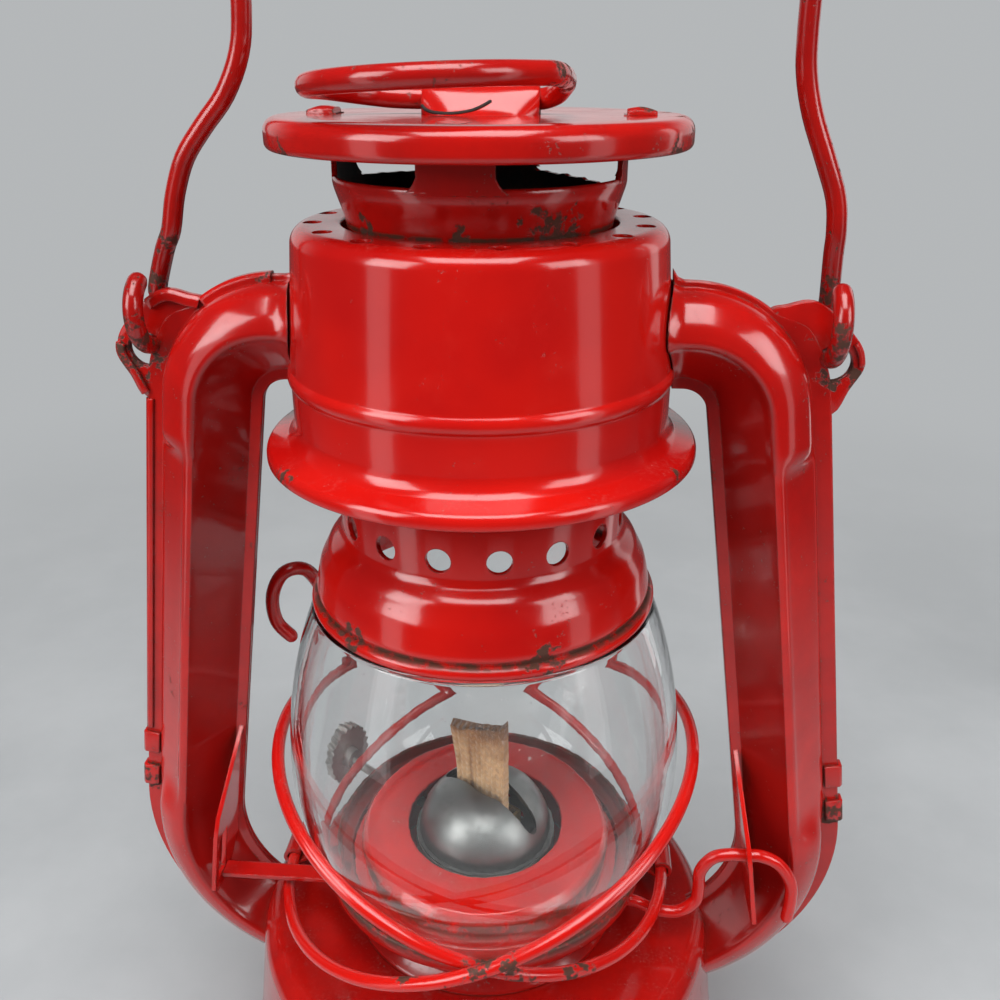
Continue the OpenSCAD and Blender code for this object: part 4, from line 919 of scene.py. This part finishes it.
# %% Dome
SKIRT_Z, DOME_TOP, SKIRT_R, SKIRT_H, DOME_R, TOP_R, THROAT = 150.0, 185.0, 34.2, 5.8, 29.5, 28.0, 20.5
BEAD_Z, TOP_ROUND = SKIRT_Z + 12.9, 2.7


def dome_side(inset):
    made = [(SKIRT_R - inset, SKIRT_Z), (SKIRT_R - inset, SKIRT_Z + 0.9)]
    made += arc((SKIRT_R - 1.7, SKIRT_Z + 0.9), 1.7 - inset, 0, 50, 6)
    made += arc((DOME_R + 3.4, SKIRT_Z + SKIRT_H), 3.4 + inset, 232, 180, 10)
    made += [(DOME_R - inset, BEAD_Z - 2.2)]
    made += arc((DOME_R - 1.4, BEAD_Z), 1.9 - inset, -44, 44, 10)
    made += [(DOME_R - 0.1 - inset, BEAD_Z + 2.2)]
    return made + arc((TOP_R - TOP_ROUND, DOME_TOP - TOP_ROUND), TOP_ROUND - inset, 3, 90, 10)


dome_outline = dome_side(0) + [(THROAT, DOME_TOP), (THROAT, DOME_TOP - SHEET)] + dome_side(SHEET)[::-1]
VENTS, VENT_RING, VENT_R = 16, 24.55, 1.4
vents = Sketch()
for i in range(VENTS):
    vents.rod(spoke(360 * (i + 0.5) / VENTS) * VENT_RING + Vector((0, 0, DOME_TOP - 3)), (0, 0, 1), VENT_R, 6)
dome_enamel = enamel("enamel_dome", wear=0.35, grime_and_shade=0.5, spots=[
    ((-27, -21, 150.5), 6), ((30, -16, 150.5), 4)])
Sketch().lathe(soften(dome_outline, 0.7), 192).piece(
    "pressed_dome", "frame", dome_enamel, "red_enamel", ["dome"], cutter=vents)

# %% Collar on the globe
COLLAR_Z, COLLAR_TOP, COLLAR_R, NECK_R, CHIMNEY_R, BEAD_R = 122.8, 145.0, 29.3, 23.3, 19.4, 1.15
collar_edge = [(0.82, 1.4), (0.81, 2.6), (0.83, 3.5), (0.78, 5.1), (0.73, 6.5), (0.67, 7.7), (0.58, 8.8),
               (0.49, 9.9), (0.41, 10.9), (0.3, 11.7), (0.18, 12.4), (0.07, 13.1), (0, 14)]
collar_line = smooth_curve([(NECK_R + k * (COLLAR_R - NECK_R), COLLAR_Z + h, 0) for k, h in collar_edge], 3)
collar_outline = [(p.x, p.y) for p in collar_line] + [(NECK_R, COLLAR_TOP), (CHIMNEY_R, COLLAR_TOP)]
collar_outline += [(CHIMNEY_R, COLLAR_TOP - SHEET), (NECK_R - SHEET, COLLAR_TOP - SHEET)]
collar_outline += [(p.x - SHEET, p.y) for p in reversed(collar_line)]
MOUTH_R, LEDGE = 26.6, COLLAR_Z + 1
mouth_outline = [(MOUTH_R - SHEET, COLLAR_Z - 1.8), (MOUTH_R, COLLAR_Z - 1.8), (MOUTH_R, LEDGE),
                 (COLLAR_R - BEAD_R, LEDGE), (COLLAR_R - BEAD_R, LEDGE + SHEET),
                 (MOUTH_R - SHEET, LEDGE + SHEET)]
COLLAR_HOLES, FIRST_HOLE, COLLAR_HOLE_R = 16, -78.4, 1.95
collar_holes = Sketch()
for i in range(COLLAR_HOLES):
    way = spoke(FIRST_HOLE + 360 * i / COLLAR_HOLES)
    collar_holes.rod(way * 20.5 + Vector((0, 0, COLLAR_TOP - 5.3)), way, COLLAR_HOLE_R, 6)
collar_enamel = enamel("enamel_collar", wear=0.5, grime_and_shade=0.8, bands=[(125.3, 0.9)], spots=[
    ((12, -26, 125), 6), ((-18, -21, 125), 6)])
Sketch().lathe(soften(collar_outline, 0.5), 192).piece(
    "shouldered_collar", "chimney", collar_enamel, "red_enamel", ["chimney_collar"], cutter=collar_holes)
edge_roll = Sketch().lathe(arc((COLLAR_R - BEAD_R, COLLAR_Z + BEAD_R), BEAD_R, 0, 345, 23), 192)
edge_roll.lathe(soften(mouth_outline, 0.3), 128)
edge_roll.piece("collar_rolled_edge", "chimney", collar_enamel, "red_enamel")

# %% Chimney and its posts
LIP_Z, LIP_R, CAP_Z, CAP_TOP, CAP_R = 191.6, 21.3, 195.2, 199.5, 30.3
POST_W, POST_AT, TAB_W, FOLD = 11.0, -93, 4.4, 4.2
flare_line = [(CHIMNEY_R, DOME_TOP - 3), (CHIMNEY_R + 0.1, DOME_TOP - 1), (CHIMNEY_R + 0.6, DOME_TOP + 1.4),
              (CHIMNEY_R + 1.3, DOME_TOP + 3.6), (LIP_R - 0.15, DOME_TOP + 5), (LIP_R, LIP_Z - 0.8)]
flare = [(p.x, p.y) for p in smooth_curve([(r, z, 0) for r, z in flare_line], 4)]
tube_outline = [(CHIMNEY_R - SHEET, COLLAR_TOP - 3), (CHIMNEY_R, COLLAR_TOP - 3)] + flare
tube_outline += arc((LIP_R - 0.45, LIP_Z - 0.45), 0.42, 10, 170, 6)
tube_outline += [(r - SHEET, z) for r, z in reversed(flare)]
stack = Sketch().lathe(tube_outline, 160)
back_windows = Sketch()
for turn, deep, slant, rough in ((POST_AT + 135, 2.15, 0.072, 0.10), (POST_AT + 225, 1.4, 0.02, 0.04)):
    out, across = spoke(turn), spoke(turn + 90)
    edge = [(-10.6, 5), (-10.6, 1.7), (-10.2, 0.7), (-9.6, 0.1)]
    for x in range(-36, 37):
        edge.append((x / 4, slant * x / 4 + rough * (math.sin(0.45 * x) + 0.6 * math.sin(0.8 * x))))
    edge += [(9.6, 0.9), (10.2, 1.4), (10.6, 2.2), (10.6, 5)]
    back_windows.plate(
        edge, lambda u, v, depth: across * u + out * (12 + depth) + Vector((0, 0, LIP_Z - deep + v)), 14)
chimney_enamel = enamel("enamel_chimney", wear=0.5, grime_and_shade=0.9, dull=0.25, bands=[(185.0, 0.6)], spots=[
    ((9, -18, 186.8), 5), ((13, -15, 187), 5), ((-14, -13, 186), 4), ((-1, -20, 185.6), 3),
    ((24, -1, 200.4), 4), ((-24, 1, 200.6), 4), ((0, 20, 187), 7)])


def sooty_inside(made, top):
    """Gives the faces that look at the axis a second, sooty finish."""
    made.data.materials.append(soot_and_slit_shade)
    for face in made.data.polygons:
        reach = math.hypot(face.center.x, face.center.y)
        inward = face.normal.x * face.center.x + face.normal.y * face.center.y < -0.3 * reach
        if inward and face.center.z < top * MM:
            face.material_index = 1


stack_piece = stack.piece(
    "chimney_stack", "chimney", chimney_enamel, "red_enamel", ["chimney_tube"], cutter=back_windows)
sooty_inside(stack_piece, CAP_TOP)


def curved_post(sketch, turn, widths, inner, outer):
    """A strip of the chimney wall; widths are (height, half width) from low to high."""
    rows = []
    for z, half in widths:
        reach = math.degrees(half / outer)
        ring = [(outer, turn - reach + 2 * reach * k / 8, z) for k in range(9)]
        ring += [(inner, turn + reach - 2 * reach * k / 8, z) for k in range(9)]
        rows.append([(r * math.cos(math.radians(a)), r * math.sin(math.radians(a)), h) for r, a, h in ring])
    sketch.grid(rows, close_columns=True, caps=True)


posts = Sketch()
for i in range(4):
    turn = POST_AT + 90 * i
    foot = [(LIP_Z - 0.9, POST_W / 2 + 1.6), (LIP_Z - 0.2, POST_W / 2 + 0.7), (LIP_Z + 0.5, POST_W / 2 + 0.1)]
    foot += [(LIP_Z + 1.3, POST_W / 2 - 0.3), (CAP_TOP - SHEET - 0.05, POST_W / 2 - 0.3)]
    curved_post(posts, turn, foot, LIP_R - SHEET, LIP_R)
    curved_post(posts, turn, [(CAP_TOP - SHEET, TAB_W / 2), (CAP_TOP + 0.1, TAB_W / 2)], LIP_R - SHEET, LIP_R)
    out, across = spoke(turn), spoke(turn + 90)
    rows, rise = [], 0.03 if i == 0 else 1.0  # the front tab is flush under the paint
    for k in range(9):
        u, bow = LIP_R - 0.5 + FOLD * k / 8, 0.3 * math.sin(math.pi * k / 8)
        half = (TAB_W / 2) * (1 - 0.35 * (k / 8) ** 2)
        tall = rise * (0.85 - 0.35 * (k / 8) ** 2 + bow)
        rows.append([out * u + across * half * v + Vector((0, 0, CAP_TOP + h)) for v, h in (
            (-1, -0.1), (-0.95, tall * 0.6), (-0.6, tall * 0.95), (0, tall), (0.6, tall * 0.95),
            (0.95, tall * 0.6), (1, -0.1))])
    posts.grid(rows, close_columns=True, caps=True)
sooty_inside(posts.piece("chimney_posts", "chimney", chimney_enamel, "red_enamel"), CAP_TOP)

# %% Cap with a rounded rim
cap_outline = [(CAP_R - 1.6, CAP_Z + 0.05)] + arc((CAP_R - 1, CAP_Z + 1), 1, -80, 0, 6)
cap_outline += arc((CAP_R - 1.9, CAP_TOP - 1.9), 1.9, 0, 80, 8)
cap_outline += [(CAP_R - 6, CAP_TOP - 0.05), (9, CAP_TOP), (0, CAP_TOP), (0, CAP_TOP - SHEET),
                (CAP_R - 6, CAP_TOP - SHEET), (CAP_R - 2.2, CAP_TOP - SHEET - 0.5),
                (CAP_R - SHEET, CAP_TOP - 2), (CAP_R - SHEET, CAP_Z + 1), (CAP_R - 1.8, CAP_Z + 0.7)]
cap_enamel = enamel("enamel_cap", wear=0.5, grime_and_shade=0.5, dull=0.22, spots=[
    ((29.5, -5, 196.8), 7), ((27, -13, 195.4), 5), ((-24, -18, 195.4), 4), ((25, 8, 199.5), 5)])
cap_piece = Sketch().lathe(cap_outline, 192).piece("spun_cap", "chimney", cap_enamel, "red_enamel", ["cap"])
cap_piece.data.materials.append(soot_and_slit_shade)
for face in cap_piece.data.polygons:
    if face.normal.z < -0.6 and math.hypot(face.center.x, face.center.y) < (CAP_R - 3) * MM:
        face.material_index = 1

# %% [markdown]
# ## Lift ring and its saddle
# The saddle is a bridge lanced out of the cap, with a smile-shaped slit in front, and the ring's ends turn in
# it. The ring, the bail, the lever and the spring are all plain wire swept along a curve.

# %% Saddle
PIN_Z, RING_D, SADDLE_W = 201.55, 2.9, 15.0
BRIDGE_LOW, BRIDGE_HIGH, BRIDGE_H = -8.0, 8.6, PIN_Z + RING_D / 2 + 0.58 - CAP_TOP


def bridge_point(x, share):
    """Depth and height of the bridge at x; share runs from its front edge (-1) to its back edge (1)."""
    end = abs(2 * (x - BRIDGE_LOW) / (BRIDGE_HIGH - BRIDGE_LOW) - 1)
    swell = 1 - end ** 2.4
    arch = max(math.cos(share * math.pi / 2), 0) ** (0.5 + swell)
    return (2.3 + 3.2 * swell) * share, BRIDGE_H * (1 - 0.10 * end ** 4) * arch


rows = []
for i in range(41):
    x = BRIDGE_LOW + (BRIDGE_HIGH - BRIDGE_LOW) * i / 40
    arches = []
    for shell in (0.0, 0.6):
        made = [bridge_point(x, k / 16 - 1) for k in range(33)]
        arches.append([(x, y, CAP_TOP - 0.05 + max(z - shell, -0.3)) for y, z in made])
    rows.append(arches[0] + arches[1][::-1])
Sketch().grid(rows, close_columns=True, caps=True).piece(
    "lanced_bridge", "chimney", cap_enamel, "red_enamel", ["ring_saddle"], bevel=0.12)
slit_points = [(-7.8, -0.92), (-7.2, -0.94), (-5.8, -0.94), (-3.3, -0.91), (-0.9, -0.82), (0.7, -0.71),
               (1.8, -0.61)]
slit_line = []
for x, share in slit_points:
    y, z = bridge_point(x, share)
    slit_line.append((x, y, CAP_TOP + z - 0.05))
# Painted shade: the slit is a thin dark wire laid on the bridge, for the shade in the gap under it.
Sketch().wire(smooth_curve(slit_line, 6), 0.5, 8).piece("bridge_slit", "chimney", soot_and_slit_shade, "red_enamel")

# %% Lift ring, lying forward over the cap
LOOP_R, LOOP_X, LOOP_Y = 16.55, -4.2, -13.0
pin_in, pin_face, pin_out, pin_turn = (SADDLE_W / 2 + d for d in (-5, -1.1, 0.6, 1.6))
ring_route = [(pin_in, 0, 0), (pin_face, 0, 0), (pin_out, 0, 0), (pin_turn, -0.1, 0),
              (LOOP_X + LOOP_R - 1.5, -1.5, 0.6), (LOOP_X + LOOP_R - 0.5, -4.2, 1.6),
              (LOOP_X + LOOP_R - 0.1, -8, 2.5)]
for a in (math.radians(-20 * k) for k in range(1, 10)):
    ring_route.append((LOOP_X + LOOP_R * math.cos(a), LOOP_Y + LOOP_R * math.sin(a),
                       2.4 + 0.7 * math.cos(a) - 0.85 * math.sin(a)))
ring_route += [(LOOP_X - LOOP_R + 0.6, -7.5, 1.4), (LOOP_X - LOOP_R + 2.6, -3.2, 0.9),
               (LOOP_X - LOOP_R + 5.8, -0.9, 0.4), (-pin_turn - 3, -0.2, 0.1),
               (-pin_turn, 0, 0), (-pin_out, 0, 0), (-pin_face, 0, 0), (-pin_in, 0, 0)]
ring_enamel = enamel("enamel_ring", wear=0.6, dull=0.25, spots=[
    ((11, -17, 205), 6), ((10, -20, 205), 5), ((12, -10, 204.5), 6)])
Sketch().wire([p + Vector((0, 0, PIN_Z)) for p in smooth_curve(ring_route, 6)], RING_D).piece(
    "wire_lift_ring", "cap_ring", ring_enamel, "red_enamel", ["lift_ring"])

# %% Bail
EYE_X, EYE_Z, EYE_R, BAIL_D, BAIL_Y = 52.9, 170.501, 5.4, 3.0, 3.0
RIGHT_EYE_OUT, BAIL_TOP = 0.35, 258.3
right_leg = [(0.2, 0.6, 9.4), (0.4, 0, 13), (1.1, 0, 17.6), (3.3, 0, 23), (5.9, 0, 29), (7.4, 0, 34.4),
             (7.9, 0, 40)]  # (inward, back, up) from the eye
left_leg = [(2.5, 0.8, 8.8), (4.3, 0, 12), (5.7, 0, 17.4), (7.9, 0, 22.6), (11.3, 0, 27), (15.1, 0, 31.4),
            (17.9, 0, 37), (18.9, 0, 43)]


def bail_eye(side):
    """The open loop of wire at one end of the bail, through the hole of the ear."""
    angles = [math.radians(-155 + 19.5 * i) for i in range(15)]
    x = EYE_X + RIGHT_EYE_OUT if side > 0 else -EYE_X
    return [(x, EYE_R * math.sin(a), EYE_Z - EYE_R * math.cos(a)) for a in angles]


arch_right, arch_left = EYE_X - right_leg[-1][0], left_leg[-1][0] - EYE_X
arch_half, arch_x, arch_z = (arch_right - arch_left) / 2, (arch_right + arch_left) / 2, EYE_Z + 48
arch = [(arch_x + arch_half * way.x, BAIL_Y, arch_z + (BAIL_TOP - arch_z) * way.y)
        for way in (spoke(a) for a in range(10, 171, 16))]
bail_route = bail_eye(1) + [(EYE_X - x, BAIL_Y + y, EYE_Z + z) for x, y, z in right_leg] + arch
bail_route += [(x - EYE_X, BAIL_Y + y, EYE_Z + z) for x, y, z in reversed(left_leg)] + bail_eye(-1)[::-1]
bail_enamel = enamel("enamel_bail", wear=1.0, grime_and_shade=0.9, dull=0.5, spots=[
    ((53, -5, 168), 8), ((53, 4, 174), 6), ((-53, -5, 168), 7), ((-53, 4, 173), 7), ((-50, 3, 181), 5)])
Sketch().wire(smooth_curve(bail_route, 4), BAIL_D).piece(
    "wire_bail", "bail", bail_enamel, "red_enamel", ["bail"])

# %% Lift lever
LEVER_D, LEVER_Y, TIP_Z, PIVOT = 2.3, 10.45, 62.85, Vector((48.7253, 75.2402))
lever_route = [(PLATE_R - 3.4, TIP_Z), (PLATE_R - 1.4, TIP_Z - 0.4), (PLATE_R + 2, TIP_Z - 2),
               (PLATE_R + 6.4, TIP_Z - 2.2), (PLATE_R + 9.4, TIP_Z + 0.6), (PLATE_R + 9.8, TIP_Z + 4),
               (PLATE_R + 9.8, PIVOT.y - 4.4), (PLATE_R + 11.8, PIVOT.y - 1), (PIVOT.x - 3, PIVOT.y),
               tuple(PIVOT), (PIVOT.x + 2.4, PIVOT.y), (PIVOT.x + 5.6, PIVOT.y - 1.6),
               (PIVOT.x + 8.2, PIVOT.y - 5.6), (PIVOT.x + 8.8, PIVOT.y - 10), (PIVOT.x + 8.6, PIVOT.y - 14.4)]
Sketch().wire(smooth_curve([(x, -LEVER_Y, z) for x, z in lever_route], 6), LEVER_D).piece(
    "wire_lever", "lever", guard_enamel, "red_enamel", ["lift_lever"])

# %% Chimney spring, a fixed coil here; on the lantern it shortens when the chimney is pulled up
SPRING_R, SPRING_D, SPRING_LOW, SPRING_HIGH, SPRING_TURNS = 22.5, 1.6, 146.1, 183.1, 6
coil = []
for i in range(SPRING_TURNS * 32 + 1):
    a = 2 * math.pi * i / 32
    coil.append((SPRING_R * math.cos(a), SPRING_R * math.sin(a),
                 SPRING_LOW + (SPRING_HIGH - SPRING_LOW) * i / (SPRING_TURNS * 32)))
spring_piece = Sketch().wire(coil, SPRING_D, 10).piece(
    "wire_spring", "frame", dull_steel, "bare_steel", ["chimney_spring"])
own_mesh(spring_piece)

# %% [markdown]
# ## Pieces that keep their solids
# Small parts such as the knob, the filler and the brackets already have the right shape. Each solid is welded
# and shaded smooth up to a clear angle by a small node modifier, and gets a finish of its own.

# %% Smooth shading for solids
def smooth_solid_modifier():
    """Drops the stored normals, welds the facets and keeps only clear edges crisp."""
    group = bpy.data.node_groups.new("weld_and_smooth", "GeometryNodeTree")
    group.interface.new_socket("Geometry", in_out="INPUT", socket_type="NodeSocketGeometry")
    group.interface.new_socket("Geometry", in_out="OUTPUT", socket_type="NodeSocketGeometry")
    nodes, link = group.nodes, group.links.new
    source, result = nodes.new("NodeGroupInput"), nodes.new("NodeGroupOutput")
    bare = nodes.new("GeometryNodeRemoveAttribute")
    bare.inputs["Name"].default_value = "custom_normal"
    weld = nodes.new("GeometryNodeMergeByDistance")
    weld.inputs["Distance"].default_value = 1e-6
    smooth = nodes.new("GeometryNodeSetShadeSmooth")
    angle = nodes.new("GeometryNodeInputMeshEdgeAngle")
    flat_enough = nodes.new("FunctionNodeCompare")
    flat_enough.operation = "LESS_THAN"
    flat_enough.inputs[1].default_value = CRISP
    crisp = nodes.new("GeometryNodeSetShadeSmooth")
    crisp.domain = "EDGE"
    chain = [source, bare, weld, smooth, crisp, result]
    for before, after in zip(chain, chain[1:]):
        link(before.outputs[0], after.inputs[0])
    link(angle.outputs["Unsigned Angle"], flat_enough.inputs[0])
    link(flat_enough.outputs[0], crisp.inputs["Shade Smooth"])
    return group


smoothing = smooth_solid_modifier()
kept = {"fount_base": enamel_low, "filler_cap": enamel_low, "left_guide": red_enamel,
        "lever_bracket": red_enamel, "air_duct": dull_steel, "burner_basket": dull_steel,
        "wick_shaft": nickelled, "filler_neck": old_brass, "burner_collar": old_brass,
        "wick_tube": old_brass, "wick_wheels": old_brass, "wick_knob": nickelled}
for name, finish in kept.items():
    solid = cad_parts[name]
    solid.modifiers.new("smooth", "NODES").node_group = smoothing
    solid.data.materials.clear()
    solid.data.materials.append(finish)
print("kept solids:", len(kept))

# %% Cork washer under the filler cap
washer = [(3.6, 56.95), (5.2, 56.95), (5.4, 57.15), (5.4, 57.55), (5.2, 57.75), (3.6, 57.75), (3.5, 57.35)]
rows = [[(r * math.cos(a), FILLER_Y + r * math.sin(a), z) for r, z in washer] for a in turns(64)]
Sketch().grid(rows, close_rows=True, close_columns=True).piece(
    "cork_washer", "gasket", cork, "gasket", ["filler_gasket"])

# %% [markdown]
# ## Floor, light and background
# A plain pale floor and soft light from two sides show the enamel as it is. Glossy paint needs something to
# mirror: three narrow strips beside the lantern give the upright bands on the dome, and a pale low backdrop
# gives the sheen on cap and dome top. The world is pale to the eye and through glass, and gentle as light.

# %% Backdrop: in mirrors it is pale only low at the back
PALE, GENTLE = (0.46, 0.475, 0.485, 1), (0.10, 0.10, 0.104, 1)
DIM, PALE_BACK = (0.05, 0.05, 0.052, 1), (0.58, 0.58, 0.585, 1)


def backdrop(start, direction=None):
    """One colour for the eye, one for mirrors and one for light."""
    def ray(kind):
        return start.add("ShaderNodeLightPath", out=kind)

    mirrored = DIM
    if direction:
        low_back = direction.part(1).between(0.2, 0.8) * (1 - direction.part(2).between(0.22, 0.5))
        mirrored = low_back.over(DIM, PALE_BACK)
    seen = ray("Is Camera Ray").larger(ray("Is Transmission Ray"))
    return seen.over(ray("Is Glossy Ray").over(GENTLE, mirrored), PALE)


world = bpy.data.worlds.new("world")
bpy.context.scene.world = world
world.use_nodes = True
sky = Field(world.node_tree)
sky_colour = backdrop(sky, sky.add("ShaderNodeTexCoord", out="Generated"))
world.node_tree.links.new(sky_colour.socket, world.node_tree.nodes["Background"].inputs["Color"])

# %% Floor that fades into the backdrop
floor_mesh = bpy.data.meshes.new("floor")
floor_mesh.from_pydata([(-4, -4, 0), (4, -4, 0), (4, 4, 0), (-4, 4, 0)], [], [(0, 1, 2, 3)])
floor = bpy.data.objects.new("floor", floor_mesh)
bpy.context.scene.collection.objects.link(floor)
floor_finish, floor_shader, start, place = new_finish("floor_grey", Roughness=0.9)
cloth = place.noise(14, 5, 0.6).between(0.3, 0.75).over((0.40, 0.415, 0.425, 1), (0.46, 0.475, 0.485, 1))
feed(floor_finish, floor_shader, Base_Color=cloth)
far = start.add("ShaderNodeVectorMath", {"operation": "LENGTH"}, {0: place}, 1).between(0.12, 0.55)
glow = start.add("ShaderNodeEmission", {}, {"Color": backdrop(start)})
near = Field(floor_finish.node_tree, floor_shader.outputs[0])
faded = start.add("ShaderNodeMixShader", {}, {0: far, 1: near, 2: glow})
set_surface(floor_finish, faded)
floor_mesh.materials.append(floor_finish)
print("floor fades from 0.12 to 0.55 m")

# %% Lamps
def lamp(name, place, target, width, height, power):
    light = bpy.data.lights.new(name, "AREA")
    light.shape, light.size, light.size_y, light.energy = "RECTANGLE", width, height, power
    made = bpy.data.objects.new(name, light)
    bpy.context.scene.collection.objects.link(made)
    made.location = place
    made.rotation_mode = "QUATERNION"
    made.rotation_quaternion = (Vector(target) - Vector(place)).to_track_quat("-Z", "Y")
    return made


lamp("left_window", (-0.72, -0.60, 0.62), (0, 0, 0.14), 0.5, 0.6, 5.5)
lamp("right_window", (0.80, -0.50, 0.57), (0, 0, 0.14), 0.45, 0.5, 3.4)
lamp("top_light", (0.0, -0.35, 1.15), (0, 0, 0.14), 0.8, 0.8, 13.0)
for name, turn, power in (("left_strip", -141, 0.06), ("right_strip", -24, 0.05), ("back_strip", 31, 0.05)):
    place = spoke(turn) * 0.24 + Vector((0, 0, 0.16))
    lamp(name, place, (0, 0, 0.16), 0.06, 0.28, power).visible_camera = False
bpy.context.scene.view_settings.view_transform = "Standard"
